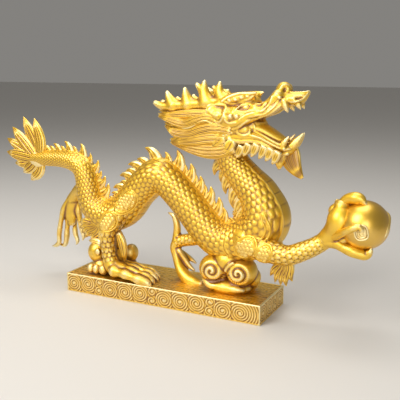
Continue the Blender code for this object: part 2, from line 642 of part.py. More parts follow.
def make_plinth(material):
    """The block with rows of raised scrolls on its four sides."""
    half_x = PLINTH_LENGTH / 2 - SCROLL_RAISE
    half_y = PLINTH_DEPTH / 2 - SCROLL_RAISE
    block = box_mesh("plinth", (-half_x, -half_y, 0.0), (half_x, half_y, PLINTH_HEIGHT), PLINTH_EDGE)
    plinth = joined("plinth", [block], material)
    sides = []
    for sign in (-1, 1):
        sides.append((Vector((0, sign, 0)), Vector((1, 0, 0)), half_y, half_x, SCROLL_COUNT_LONG))
        sides.append((Vector((sign, 0, 0)), Vector((0, 1, 0)), half_x, half_y, SCROLL_COUNT_END))
    for name, radius, rise, disc_sides in (
            ("scrolls", SCROLL_RADIUS, SCROLL_RAISE, SCROLL_SIDES),
            ("bosses", BOSS_RADIUS, BOSS_RAISE, BOSS_SIDES)):
        shape = bmesh.new()
        for outward, along, distance, reach, count in sides:
            for i in range(count):
                offset = reach * ((2 * i + 1) / count - 1) * SCROLL_SPREAD
                centre = outward * distance + along * offset
                centre.z = PLINTH_HEIGHT / 2
                disc(shape, centre, outward, radius, rise, disc_sides)
        mesh = bpy.data.meshes.new(name)
        shape.to_mesh(mesh)
        shape.free()
        boolean(plinth, cutter(name, mesh), "UNION")
    plinth.modifiers.new("triangles", "TRIANGULATE")
    return plinth


def make_pearl(material):
    """The smooth ball in the raised claw."""
    pearl = joined("pearl", [ball_mesh("pearl", PEARL_RADIUS, PEARL_RINGS)], material)
    pearl.data.shade_smooth()
    return pearl


clear_scene()
PART = bpy.data.collections.new("dragon sculpture")
CUTTERS = bpy.data.collections.new("cutters")
for group in (PART, CUTTERS):
    bpy.context.scene.collection.children.link(group)
casting_gold = gold("cast gold", GOLD_ROUGHNESS)
make_dragon(casting_gold)
make_plinth(casting_gold)
make_pearl(gold("polished gold", PEARL_ROUGHNESS))
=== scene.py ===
import logging
import math
from collections.abc import Sequence
from dataclasses import dataclass
from enum import Enum

import bmesh
import bpy
import numpy as np
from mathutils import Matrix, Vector, noise
from mathutils.bvhtree import BVHTree


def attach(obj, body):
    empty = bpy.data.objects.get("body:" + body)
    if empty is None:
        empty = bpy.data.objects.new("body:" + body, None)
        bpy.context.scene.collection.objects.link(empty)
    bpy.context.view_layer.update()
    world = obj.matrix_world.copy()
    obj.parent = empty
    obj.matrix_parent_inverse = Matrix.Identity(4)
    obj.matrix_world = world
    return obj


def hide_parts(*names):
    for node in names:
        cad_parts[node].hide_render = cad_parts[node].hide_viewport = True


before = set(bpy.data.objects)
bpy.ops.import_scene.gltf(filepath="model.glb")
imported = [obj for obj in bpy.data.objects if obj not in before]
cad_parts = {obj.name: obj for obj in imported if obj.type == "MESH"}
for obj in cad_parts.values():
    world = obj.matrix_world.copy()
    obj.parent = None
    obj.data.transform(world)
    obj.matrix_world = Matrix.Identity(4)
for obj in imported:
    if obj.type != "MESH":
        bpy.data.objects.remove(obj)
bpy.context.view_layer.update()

LOG = logging.getLogger("dragon")

# Lengths are in millimetres until a mesh is made, and MM turns them into metres.
MM = 0.001
CURVE_STEPS = 24
SIDE_AXIS = np.array([0.0, 1.0, 0.0])

Knots = Sequence[tuple[float, ...]]


class Side(Enum):
    """The side of the dragon that a paired piece is on."""

    NEAR = -1
    FAR = 1


class Slot(Enum):
    """Material slots of the record."""

    CASTING = "cast_gold"
    PLINTH = "plinth_gold"
    PEARL = "pearl_gold"


# Paths and surfaces


def smooth_path(knots: Knots, spacing: float) -> np.ndarray:
    """Sample a smooth curve through knots at an even spacing.

    Args:
        knots: Rows of x, y, z and any further values that run along.
        spacing: Distance between samples in millimetres.

    Returns:
        One row for each sample, with as many columns as a knot has.
    """
    rows = np.asarray(knots, dtype=float)
    padded = np.vstack([rows[:1], rows, rows[-1:]])
    share = np.linspace(0.0, 1.0, CURVE_STEPS, endpoint=False)[:, None]
    cube, square = share ** 3, share ** 2
    runs = []
    for before, here, there, after in zip(padded[:-3], padded[1:-2], padded[2:-1], padded[3:]):
        leave, arrive = (there - before) / 2, (after - here) / 2
        runs.append(here * (2 * cube - 3 * square + 1) + leave * (cube - 2 * square + share)
                    + there * (3 * square - 2 * cube) + arrive * (cube - square))
    dense = np.vstack([*runs, rows[-1:]])
    length = arc_length(dense)
    count = max(3, round(length[-1] / spacing) + 1)
    return resample(dense, length, np.linspace(0.0, length[-1], count))


def arc_length(path: np.ndarray) -> np.ndarray:
    """Distance along a path at each of its samples."""
    steps = np.linalg.norm(np.diff(path[:, :3], axis=0), axis=1)
    return np.concatenate([[0.0], np.cumsum(steps)])


def resample(path: np.ndarray, measure: np.ndarray, stations: np.ndarray) -> np.ndarray:
    """Read a path at the stations of a measure that grows along it."""
    return np.column_stack([np.interp(stations, measure, column) for column in path.T])


def frames_along(centres: np.ndarray, side: np.ndarray) -> tuple[np.ndarray, np.ndarray, np.ndarray]:
    """Carry a side direction along a path without twist.

    Args:
        centres: Path positions.
        side: The wished side direction at the start.

    Returns:
        Unit tangents, sides and ups (tangent x side), one row for each position.
    """
    tangents = np.gradient(centres, axis=0)
    tangents /= np.linalg.norm(tangents, axis=1)[:, None]
    current = np.asarray(side, dtype=float)
    sides = []
    for tangent in tangents:
        current = current - tangent * (current @ tangent)
        current = current / np.linalg.norm(current)
        sides.append(current)
    sides = np.array(sides)
    return tangents, sides, np.cross(tangents, sides)


def smoothstep(low: float, high: float, value: np.ndarray) -> np.ndarray:
    """A soft step from 0 at low to 1 at high."""
    share = np.clip((value - low) / (high - low), 0.0, 1.0)
    return share * share * (3 - 2 * share)


def ridge(distance: np.ndarray, width: float) -> np.ndarray:
    """A rounded ridge of height 1 over a distance of 0."""
    return np.exp(-((distance / width) ** 2))


SCALE_FLOOR = 0.26


def imbricated(row: np.ndarray, column: np.ndarray) -> np.ndarray:
    """Height of overlapping round scales whose free edges point to lower rows.

    Args:
        row: Place along the body, in rows of scales.
        column: Place around the body, in scales.

    Returns:
        Heights from SCALE_FLOOR in the gaps to 1 at the free edges.
    """
    best = np.full(np.broadcast(row, column).shape, SCALE_FLOOR)
    for step in (0, 1):
        index = np.floor(row) + step
        along = index - row
        across = column - 0.5 * (index % 2)
        across = across - np.round(across)
        reach = np.sqrt((along / 0.99) ** 2 + (across / 0.6) ** 2)
        dome = np.sqrt(np.clip(1 - reach ** 2.8, 0, None)) * (0.42 + 0.58 * along)
        best = np.maximum(best, dome)
    return best


class Skin:
    """Closed shells gathered into one mesh, in millimetres."""

    def __init__(self) -> None:
        """Start without any shell."""
        self.points: list[np.ndarray] = []
        self.faces: list[tuple[int, ...]] = []
        self.count = 0

    def add(self, points: np.ndarray, faces: list[tuple[int, ...]]) -> None:
        """Add one closed shell and turn it inside in if its faces point inwards."""
        fans = np.array([(face[0], face[i], face[i + 1]) for face in faces for i in range(1, len(face) - 1)])
        corner, second, third = points[fans[:, 0]], points[fans[:, 1]], points[fans[:, 2]]
        inside_out = np.einsum("ij,ij->i", corner, np.cross(second, third)).sum() < 0
        for face in faces:
            placed = tuple(index + self.count for index in face)
            self.faces.append(placed[::-1] if inside_out else placed)
        self.points.append(points)
        self.count += len(points)

    def loft(self, rings: np.ndarray) -> None:
        """Add a shell of closed rings, shape (rings, around, 3), with a pole at each end."""
        rows, around = rings.shape[:2]
        points = np.vstack([rings.reshape(-1, 3), rings[0].mean(axis=0), rings[-1].mean(axis=0)])
        first, last = rows * around, rows * around + 1
        faces: list[tuple[int, ...]] = []
        for row in range(rows - 1):
            low, high = row * around, (row + 1) * around
            for i in range(around):
                after = (i + 1) % around
                faces.append((low + i, low + after, high + after, high + i))
        top = (rows - 1) * around
        for i in range(around):
            after = (i + 1) % around
            faces.append((first, after, i))
            faces.append((last, top + i, top + after))
        self.add(points, faces)

    def take(self, mesh: bpy.types.Mesh) -> None:
        """Add the shells of a Blender mesh as they are."""
        self.faces.extend(tuple(index + self.count for index in face.vertices) for face in mesh.polygons)
        self.points.append(read_points(mesh))
        self.count += len(mesh.vertices)

    def mesh(self, name: str) -> bpy.types.Mesh:
        """All shells as one Blender mesh in metres."""
        mesh = bpy.data.meshes.new(name)
        mesh.from_pydata((np.vstack(self.points) * MM).tolist(), [], self.faces)
        return mesh


def tube(skin: Skin, knots: Knots, around: int = 16, spacing: float = 1.5, flat: float = 1.0) -> None:
    """Add a tapered tube with round ends, its width in Y times flat."""
    path = smooth_path(knots, spacing)
    tangents, sides, ups = frames_along(path[:, :3], SIDE_AXIS)
    turn = np.linspace(0, 2 * math.pi, around, endpoint=False)
    radius = np.maximum(path[:, 3], 0.15)[:, None, None]
    ring = (sides[:, None] * (np.cos(turn) * flat)[:, None] + ups[:, None] * np.sin(turn)[:, None]) * radius
    centres = path[:, None, :3]
    closing = np.radians([20.0, 45.0, 70.0])[:, None, None]
    starts = centres[:1] + ring[:1] * np.cos(closing) - tangents[:1, None] * radius[:1] * np.sin(closing)
    ends = centres[-1:] + ring[-1:] * np.cos(closing) + tangents[-1:, None] * radius[-1:] * np.sin(closing)
    skin.loft(np.vstack([starts[::-1], centres + ring, ends]))


def lump(skin: Skin, centre: tuple[float, ...], radii: tuple[float, ...], around: int = 24) -> None:
    """Add an ellipsoid."""
    turn = np.linspace(0, 2 * math.pi, around, endpoint=False)
    rise = np.linspace(-math.pi / 2, math.pi / 2, around // 2 + 1)[1:-1, None]
    ring = np.stack([np.cos(rise) * np.cos(turn), np.cos(rise) * np.sin(turn),
                     np.sin(rise) * np.ones_like(turn)], axis=-1)
    skin.loft(np.asarray(centre) + ring * np.asarray(radii))


def on_side(knots: Knots, side: Side) -> Knots:
    """A path that is written for the far side, placed on a side."""
    return [(x, side.value * y, *rest) for x, y, *rest in knots]


@dataclass(frozen=True)
class Lock:
    """A tapering lock, leaf or fin lobe with deep strands and fine lines along it.

    Each knot holds x, y, z and half the width. The width lies across normal.
    """

    knots: Knots
    strands: int = 3
    thick: float = 3.0
    groove: float = 0.9
    normal: tuple[float, float, float] = (0.0, 1.0, 0.0)
    spacing: float = 1.3
    hairs: int = 3
    uneven: float = 0.35
    two_sided: bool = True
    strand_share: float = 0.72

    def profile(self, place: np.ndarray) -> np.ndarray:
        """Height of the strands and their hairs across the lock, from 0 to 1."""
        drift = self.uneven / self.strands * np.sin(2.3 * place + self.knots[0][0])
        phase = math.pi * self.strands * (place + drift + 1) / 2
        strand = np.abs(np.sin(phase)) ** 0.6
        hair = np.abs(np.sin(phase * self.hairs)) ** 0.8
        return self.strand_share * strand + (1 - self.strand_share) * hair

    def add_to(self, skin: Skin) -> None:
        """Add the lock's shell to a skin."""
        path = smooth_path(self.knots, self.spacing)
        _, normals, across = frames_along(path[:, :3], np.array(self.normal))
        width = np.maximum(path[:, 3], 0.15)[:, None]
        front = np.linspace(-1, 1, 4 * self.strands * self.hairs // 2 * 2 + 1)
        back = front if self.two_sided else np.linspace(-1, 1, 7)
        share = np.linspace(0, 1, len(path))[:, None]
        taper = np.minimum(1.0, width / width.max() * 1.6)
        half, depth = self.thick * taper, self.groove * taper * (1 - 0.7 * share ** 6)
        layers = []
        for place, grooved in ((front, True), (back[::-1], self.two_sided)):
            dome = np.sqrt(1 - np.abs(place) ** 2.4 * 0.96)
            carved = depth * (self.profile(place) - 1) if grooved else 0.0
            layers.append(np.maximum(half * dome + carved, 0.12))
        places = np.concatenate([front, back[::-1]])
        heights = np.concatenate([layers[0], -layers[1]], axis=1)
        rings = (path[:, None, :3] + across[:, None] * (places[None, :] * width)[..., None]
                 + normals[:, None] * heights[..., None])
        skin.loft(rings)


# Finishes


def shader_group(name: str, inputs: dict[str, str], outputs: dict[str, str]) -> bpy.types.NodeTree:
    """An empty shader node group with named sockets."""
    group = bpy.data.node_groups.new(name, "ShaderNodeTree")
    for in_out, sockets in (("INPUT", inputs), ("OUTPUT", outputs)):
        for label, kind in sockets.items():
            group.interface.new_socket(label, in_out=in_out, socket_type=kind)
    return group


def mixed(group: bpy.types.NodeTree, share: bpy.types.NodeSocket, under: bpy.types.NodeSocket,
          over: bpy.types.NodeSocket) -> bpy.types.NodeSocket:
    """Mix two colours of a group.

    Args:
        group: The group that gets the node.
        share: How much of the second colour shows.
        under: The first colour.
        over: The second colour.

    Returns:
        The mixed colour.
    """
    mix = group.nodes.new("ShaderNodeMix")
    mix.data_type = "RGBA"
    group.links.new(share, mix.inputs[0])
    group.links.new(under, mix.inputs[6])
    group.links.new(over, mix.inputs[7])
    return mix.outputs[2]


def crevice_group() -> bpy.types.NodeTree:
    """Painted highlight that pales raised edges, and painted shade that darkens crevices and closed-in hollows to deep
    brown.
    """
    group = shader_group(
        "painted relief light and shade",
        {"Relief": "NodeSocketFloat", "Hollow": "NodeSocketFloat", "Patch": "NodeSocketFloat",
         "Raised": "NodeSocketColor", "Ground": "NodeSocketColor", "Crevice shade": "NodeSocketColor"},
        {"Colour": "NodeSocketColor", "Depth": "NodeSocketFloat"},
    )
    nodes, links = group.nodes, group.links
    entry, leave = nodes.new("NodeGroupInput"), nodes.new("NodeGroupOutput")
    drift = nodes.new("ShaderNodeMath")
    drift.operation = "MULTIPLY_ADD"
    drift.inputs[1].default_value = 0.16
    links.new(entry.outputs["Patch"], drift.inputs[0])
    links.new(entry.outputs["Relief"], drift.inputs[2])
    masks = []
    # The first mask paints shade into crevices, the second paints a pale highlight onto raised places.
    for low, high in ((0.5, 0.12), (0.52, 0.9)):
        mask = nodes.new("ShaderNodeMapRange")
        mask.interpolation_type = "SMOOTHSTEP"
        mask.inputs["From Min"].default_value = low
        mask.inputs["From Max"].default_value = high
        links.new(drift.outputs[0], mask.inputs["Value"])
        masks.append(mask)
    # Painted shade: the larger of the crevice mask and the hollow attribute, which stands in for ambient occlusion.
    painted_shade_mask = nodes.new("ShaderNodeMath")
    painted_shade_mask.operation = "MAXIMUM"
    links.new(masks[0].outputs["Result"], painted_shade_mask.inputs[0])
    links.new(entry.outputs["Hollow"], painted_shade_mask.inputs[1])
    raised = mixed(group, masks[1].outputs["Result"], entry.outputs["Ground"], entry.outputs["Raised"])
    colour = mixed(group, painted_shade_mask.outputs[0], raised, entry.outputs["Crevice shade"])
    links.new(colour, leave.inputs["Colour"])
    links.new(painted_shade_mask.outputs[0], leave.inputs["Depth"])
    return group


def grain_group() -> bpy.types.NodeTree:
    """Fine sandy grain of the casting and broad soft patches."""
    group = shader_group(
        "casting grain",
        {"Place": "NodeSocketVector", "Fineness": "NodeSocketFloat"},
        {"Grain": "NodeSocketFloat", "Patch": "NodeSocketFloat"},
    )
    nodes, links = group.nodes, group.links
    entry, leave = nodes.new("NodeGroupInput"), nodes.new("NodeGroupOutput")
    fine = nodes.new("ShaderNodeTexNoise")
    fine.inputs["Detail"].default_value = 3.0
    links.new(entry.outputs["Place"], fine.inputs["Vector"])
    links.new(entry.outputs["Fineness"], fine.inputs["Scale"])
    links.new(fine.outputs["Fac"], leave.inputs["Grain"])
    broad = nodes.new("ShaderNodeTexNoise")
    broad.inputs["Scale"].default_value = 60.0
    broad.inputs["Detail"].default_value = 2.0
    links.new(entry.outputs["Place"], broad.inputs["Vector"])
    centred = nodes.new("ShaderNodeMath")
    centred.operation = "SUBTRACT"
    centred.inputs[1].default_value = 0.5
    links.new(broad.outputs["Fac"], centred.inputs[0])
    links.new(centred.outputs[0], leave.inputs["Patch"])
    return group


@dataclass(frozen=True)
class GoldFinish:
    """A gilded surface that reads the mesh's relief and hollow attributes to paint highlight on raised places and
    shade in crevices and hollows.
    """

    name: str
    # The raised colour is a painted highlight and the crevice colour a painted shade; the ground colour is the gold's
    # own.
    raised: tuple[float, float, float] = (1.0, 0.84, 0.42)
    ground: tuple[float, float, float] = (0.92, 0.59, 0.025)
    crevice_shade: tuple[float, float, float] = (0.27, 0.09, 0.003)
    smooth_roughness: float = 0.5
    rough_roughness: float = 0.64
    fineness: float = 900.0
    grain_depth: float = 0.0002
    grain_strength: float = 0.45
    coat: float = 0.6
    coat_roughness: float = 0.3
    coat_ior: float = 2.0

    def build(self, groups: dict[str, bpy.types.NodeTree]) -> bpy.types.Material:
        """Build the material.

        Args:
            groups: The shared node groups, by name.

        Returns:
            The finished material.
        """
        material = bpy.data.materials.new(self.name)
        material.use_nodes = True
        nodes, links = material.node_tree.nodes, material.node_tree.links
        shader = nodes["Principled BSDF"]
        shader.inputs["Metallic"].default_value = 1.0
        shader.inputs["Coat Weight"].default_value = self.coat
        shader.inputs["Coat Roughness"].default_value = self.coat_roughness
        shader.inputs["Coat IOR"].default_value = self.coat_ior
        place = nodes.new("ShaderNodeTexCoord")
        grain = nodes.new("ShaderNodeGroup")
        grain.node_tree = groups["grain"]
        grain.inputs["Fineness"].default_value = self.fineness
        links.new(place.outputs["Object"], grain.inputs["Place"])
        tint = nodes.new("ShaderNodeGroup")
        tint.node_tree = groups["crevice_shade"]
        for label, colour in (("Raised", self.raised), ("Ground", self.ground), ("Crevice shade", self.crevice_shade)):
            tint.inputs[label].default_value = (*colour, 1.0)
        for label in ("relief", "hollow"):
            read = nodes.new("ShaderNodeAttribute")
            read.attribute_name = label
            links.new(read.outputs["Fac"], tint.inputs[label.capitalize()])
        links.new(grain.outputs["Patch"], tint.inputs["Patch"])
        links.new(tint.outputs["Colour"], shader.inputs["Base Color"])
        rough = nodes.new("ShaderNodeMapRange")
        rough.inputs["To Min"].default_value = self.smooth_roughness
        rough.inputs["To Max"].default_value = self.rough_roughness
        links.new(tint.outputs["Depth"], rough.inputs["Value"])
        links.new(rough.outputs["Result"], shader.inputs["Roughness"])
        bump = nodes.new("ShaderNodeBump")
        bump.inputs["Strength"].default_value = self.grain_strength
        bump.inputs["Distance"].default_value = self.grain_depth
        links.new(grain.outputs["Grain"], bump.inputs["Height"])
        links.new(bump.outputs["Normal"], shader.inputs["Normal"])
        return material


class Workshop:
    """Finishes, and the steps that turn a mesh into a finished piece."""

    VOXEL = 0.6
    RELIEF_PASSES = 6
    RELIEF_REACH = 0.23
    RELIEF_SPREAD = 2.0
    RELIEF_LEVEL = 0.52

    def __init__(self) -> None:
        """Build the finishes."""
        groups = {"crevice_shade": crevice_group(), "grain": grain_group()}
        self.finishes = {
            Slot.CASTING: GoldFinish("gilded casting").build(groups),
            Slot.PLINTH: GoldFinish("gilded plinth", ground=(0.90, 0.54, 0.02),
                                    smooth_roughness=0.5).build(groups),
            Slot.PEARL: GoldFinish("polished gilding", ground=(0.84, 0.50, 0.02), coat=0.7,
                                   smooth_roughness=0.42, coat_roughness=0.28, grain_strength=0.1).build(groups),
        }

    def fused(self, skin: Skin, name: str, voxel: float = VOXEL, soften: int = 3) -> bpy.types.Mesh:
        """Fuse overlapping shells into one smooth skin with a voxel remesh.

        Args:
            skin: The shells.
            name: Name of the new mesh.
            voxel: Cell size in millimetres.
            soften: Smoothing passes after the remesh.

        Returns:
            The fused mesh in metres.
        """
        obj = bpy.data.objects.new(name, skin.mesh(name))
        bpy.context.collection.objects.link(obj)
        remesh = obj.modifiers.new("fuse", "REMESH")
        remesh.mode = "VOXEL"
        remesh.voxel_size = voxel * MM
        smooth = obj.modifiers.new("soften", "SMOOTH")
        smooth.iterations = soften
        evaluated = obj.evaluated_get(bpy.context.evaluated_depsgraph_get())
        mesh = bpy.data.meshes.new_from_object(evaluated)
        bpy.data.objects.remove(obj, do_unlink=True)
        return mesh

    def relief(self, mesh: bpy.types.Mesh) -> None:
        """Store how raised or sunken each point lies, as the attribute relief from 0 to 1."""
        points = read_points(mesh)
        edges = np.empty(2 * len(mesh.edges), dtype=np.int32)
        mesh.edges.foreach_get("vertices", edges)
        start, end = edges[0::2], edges[1::2]
        count = len(points)
        valence = np.bincount(start, minlength=count) + np.bincount(end, minlength=count)
        smoothed = points
        for _ in range(self.RELIEF_PASSES):
            total = np.stack([
                np.bincount(start, smoothed[end, axis], minlength=count)
                + np.bincount(end, smoothed[start, axis], minlength=count) for axis in range(3)
            ], axis=1)
            smoothed = total / np.maximum(valence, 1)[:, None]
        raised = np.einsum("ij,ij->i", points - smoothed, read_normals(mesh))
        level = np.median(raised)
        spread = max(self.RELIEF_REACH, self.RELIEF_SPREAD * np.median(np.abs(raised - level)))
        # The finish paints highlight on raised points and shade on sunken ones from this value.
        store_relief(mesh, self.RELIEF_LEVEL + 0.5 * np.tanh((raised - level) / spread))

    def finish(self, mesh: bpy.types.Mesh, name: str, node: str, slot: Slot) -> bpy.types.Object:
        """Dress a mesh, place it in the scene and hand it to the frame.

        Args:
            mesh: The finished mesh in metres.
            name: Name of the piece.
            node: The solid that it stands for.
            slot: Its material slot.

        Returns:
            The piece.
        """
        if "relief" not in mesh.attributes:
            self.relief(mesh)
        mesh.materials.clear()
        mesh.materials.append(self.finishes[slot])
        mesh.shade_smooth()
        mesh.name = name
        piece = bpy.data.objects.new(name, mesh)
        bpy.context.collection.objects.link(piece)
        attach(piece, "root")
        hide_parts(node)
        triangles = sum(len(face.vertices) - 2 for face in mesh.polygons)
        LOG.info("%s: %d triangles", name, triangles)
        return piece


def read_points(mesh: bpy.types.Mesh) -> np.ndarray:
    """Positions of a mesh's points in millimetres."""
    flat = np.empty(3 * len(mesh.vertices))
    mesh.vertices.foreach_get("co", flat)
    return flat.reshape(-1, 3) / MM


def read_normals(mesh: bpy.types.Mesh) -> np.ndarray:
    """Normals of a mesh's points."""
    flat = np.empty(3 * len(mesh.vertices))
    mesh.vertices.foreach_get("normal", flat)
    return flat.reshape(-1, 3)


def write_points(mesh: bpy.types.Mesh, points: np.ndarray) -> None:
    """Move a mesh's points to positions in millimetres."""
    mesh.vertices.foreach_set("co", (points * MM).ravel())
    mesh.update()


def store_relief(mesh: bpy.types.Mesh, value: np.ndarray, label: str = "relief") -> None:
    """Store a value from 0 to 1 at each point for the finish to read."""
    layer = mesh.attributes.new(label, "FLOAT", "POINT")
    layer.data.foreach_set("value", value.astype(np.float32))


class PaintedOcclusion:
    """Painted shade for how closed in each point lies: the surface in front of it against the surface around it."""

    CELL = 1.5
    BLUR = 3.2
    REACH = 4.5
    OPEN = 0.56
    CLOSED = 1.15
    STRENGTH = 0.75
    LEAST = 1e-6

    def __init__(self, meshes: list[bpy.types.Mesh]) -> None:
        """Spread the surface of all meshes over a grid of cells and blur it."""
        points = np.vstack([read_points(mesh) for mesh in meshes])
        areas = np.concatenate([point_areas(mesh) for mesh in meshes])
        self.low = points.min(axis=0) - 6 * self.CELL
        self.count = np.ceil((points.max(axis=0) + 6 * self.CELL - self.low) / self.CELL).astype(int) + 1
        cells = np.floor((points - self.low) / self.CELL).astype(int)
        grid = np.bincount(np.ravel_multi_index(cells.T, self.count), areas, minlength=int(np.prod(self.count)))
        grid = grid.reshape(self.count)
        half = math.ceil(2.6 * self.BLUR / self.CELL)
        weights = np.exp(-0.5 * (np.arange(-half, half + 1) * self.CELL / self.BLUR) ** 2)
        weights /= weights.sum()
        for axis in range(3):
            spread = np.zeros_like(grid)
            for shift, weight in zip(range(-half, half + 1), weights):
                spread += weight * np.roll(grid, shift, axis=axis)
            grid = spread
        self.grid = grid

    def density(self, places: np.ndarray) -> np.ndarray:
        """Blurred surface at places, read between the cells."""
        base = (places - self.low) / self.CELL - 0.5
        index = np.clip(np.floor(base).astype(int), 0, self.count - 2)
        share = np.clip(base - index, 0.0, 1.0)
        density = np.zeros(len(places))
        for corner in np.ndindex(2, 2, 2):
            weight = np.prod(np.where(np.array(corner) == 1, share, 1 - share), axis=1)
            density += weight * self.grid[tuple((index + np.array(corner)).T)]
        return density

    def store(self, mesh: bpy.types.Mesh) -> None:
        """Store how closed in each point lies, as the attribute hollow from 0 to 1 that the finish paints as shade,
        unless it is there.
        """
        if "hollow" in mesh.attributes:
            return
        points = read_points(mesh)
        ahead = self.density(points + read_normals(mesh) * self.REACH)
        ratio = ahead / np.maximum(self.density(points), self.LEAST)
        store_relief(mesh, self.STRENGTH * smoothstep(self.OPEN, self.CLOSED, ratio), "hollow")


def point_areas(mesh: bpy.types.Mesh) -> np.ndarray:
    """Area of surface around each point of a mesh, in square millimetres, without its wide flat faces."""
    areas = np.empty(len(mesh.polygons))
    mesh.polygons.foreach_get("area", areas)
    sizes = np.empty(len(mesh.polygons), dtype=np.int32)
    mesh.polygons.foreach_get("loop_total", sizes)
    areas[sizes > 4] = 0.0
    corners = np.empty(len(mesh.loops), dtype=np.int32)
    mesh.loops.foreach_get("vertex_index", corners)
    shares = np.repeat(areas / sizes / MM ** 2, sizes)
    return np.bincount(corners, shares, minlength=len(mesh.vertices))


def scale_limb(mesh: bpy.types.Mesh, knots: Knots, columns: int, height: float,
               first: float = 0.0, last: float = 1.0) -> None:
    """Raise rows of scales on the part of a mesh that surrounds a path.

    Args:
        mesh: The mesh to change.
        knots: The limb's path of x, y, z and radius.
        columns: Scales around the limb.
        height: Height of a scale, as a share of its pitch.
        first: Share of the path where the scales start.
        last: Share of the path where they end.
    """
    path = smooth_path(knots, 1.0)
    _, sides, ups = frames_along(path[:, :3], SIDE_AXIS)
    length = arc_length(path)
    pitch = 2 * math.pi * path[:, 3] / columns
    rows = np.concatenate([[0.0], np.cumsum(np.diff(length) / pitch[1:])])
    points = read_points(mesh)
    normals = read_normals(mesh)
    nearest = np.zeros(len(points), dtype=int)
    best = np.full(len(points), np.inf)
    for index, centre in enumerate(path[:, :3]):
        reach = np.einsum("ij,ij->i", points - centre, points - centre)
        closer = reach < best
        best[closer] = reach[closer]
        nearest[closer] = index
    offset = points - path[nearest, :3]
    around = np.arctan2(np.einsum("ij,ij->i", offset, ups[nearest]),
                        np.einsum("ij,ij->i", offset, sides[nearest]))
    share = length[nearest] / length[-1]
    near = 1 - smoothstep(1.15, 1.4, np.sqrt(best) / path[nearest, 3])
    inside = smoothstep(first - 0.03, first + 0.03, share) * (1 - smoothstep(last - 0.03, last + 0.03, share))
    domes = imbricated(-rows[nearest], around / (2 * math.pi) * columns)
    push = (domes - 0.45) * height * pitch[nearest] * near * inside
    write_points(mesh, points + normals * push[:, None])


# The long body


@dataclass
class ScaledBody:
    """The snake-like body from the tail fin to the back of the skull."""

    spine: Knots
    columns: int = 20
    samples_around: int = 140
    samples_per_row: float = 5.2
    row_share: float = 0.90
    scale_height: float = 0.46
    belly_from: float = 153.0
    back_until: float = 15.0
    belly_plate: float = 8.5

    def mesh(self) -> bpy.types.Mesh:
        """The body as a closed mesh with scales, belly plates and back strip."""
        path = smooth_path(self.spine, 0.5)
        length = arc_length(path)
        pitch = 2 * math.pi * path[:, 3] / self.columns * self.row_share
        rows = np.concatenate([[0.0], np.cumsum(np.diff(length) / pitch[1:])])
        stations = np.linspace(0.0, rows[-1], round(rows[-1] * self.samples_per_row))
        table = resample(np.column_stack([path, length, pitch]), rows, stations)
        _, sides, ups = frames_along(table[:, :3], SIDE_AXIS)
        turn = np.linspace(0, 2 * math.pi, self.samples_around, endpoint=False)
        from_back = np.degrees(np.abs((turn + math.pi) % (2 * math.pi) - math.pi))
        domes = imbricated(stations[:, None], (turn * self.columns / (2 * math.pi))[None, :])
        along = (table[:, 4] / self.belly_plate)[:, None]
        plates = 0.62 - 0.3 * ridge((along + 0.5) % 1 - 0.5, 0.06)
        belly = smoothstep(self.belly_from, self.belly_from + 4, from_back)[None, :]
        back = 1 - smoothstep(self.back_until - 3, self.back_until, from_back)[None, :]
        height = domes * (1 - belly) + plates * belly
        height = height * (1 - back) + 0.75 * back
        rim = ridge(from_back - self.belly_from, 2.0) + 0.6 * ridge(from_back - self.back_until, 1.8)
        height = np.maximum(height, rim[None, :] * 1.15)
        radius = table[:, 3, None] + (height - 0.6) * self.scale_height * table[:, 5, None]
        ring = ups[:, None] * np.cos(turn)[:, None] + sides[:, None] * np.sin(turn)[:, None]
        skin = Skin()
        skin.loft(table[:, None, :3] + ring * radius[..., None])
        mesh = skin.mesh("body")
        # Scale tips, rims and the back strip get the painted highlight; gaps between scales and seams between belly
        # plates get painted shade.
        store_relief(mesh, np.concatenate([0.06 + 0.86 * height.ravel() ** 1.3, [0.5, 0.5]]))
        return mesh


@dataclass(frozen=True)
class Feet:
    """Where the copies of a pattern stand: places and sizes in millimetres, and unit directions."""

    places: np.ndarray
    outward: np.ndarray
    along: np.ndarray
    sizes: np.ndarray

    def mesh(self) -> bpy.types.Mesh:
        """One loose point for each copy, with its directions and size as attributes."""
        mesh = bpy.data.meshes.new("feet")
        mesh.from_pydata((self.places * MM).tolist(), [], [])
        for label, value in (("along", self.along), ("outward", self.outward)):
            layer = mesh.attributes.new(label, "FLOAT_VECTOR", "POINT")
            layer.data.foreach_set("vector", value.astype(np.float32).ravel())
        layer = mesh.attributes.new("size", "FLOAT", "POINT")
        layer.data.foreach_set("value", (self.sizes * MM).astype(np.float32))
        return mesh


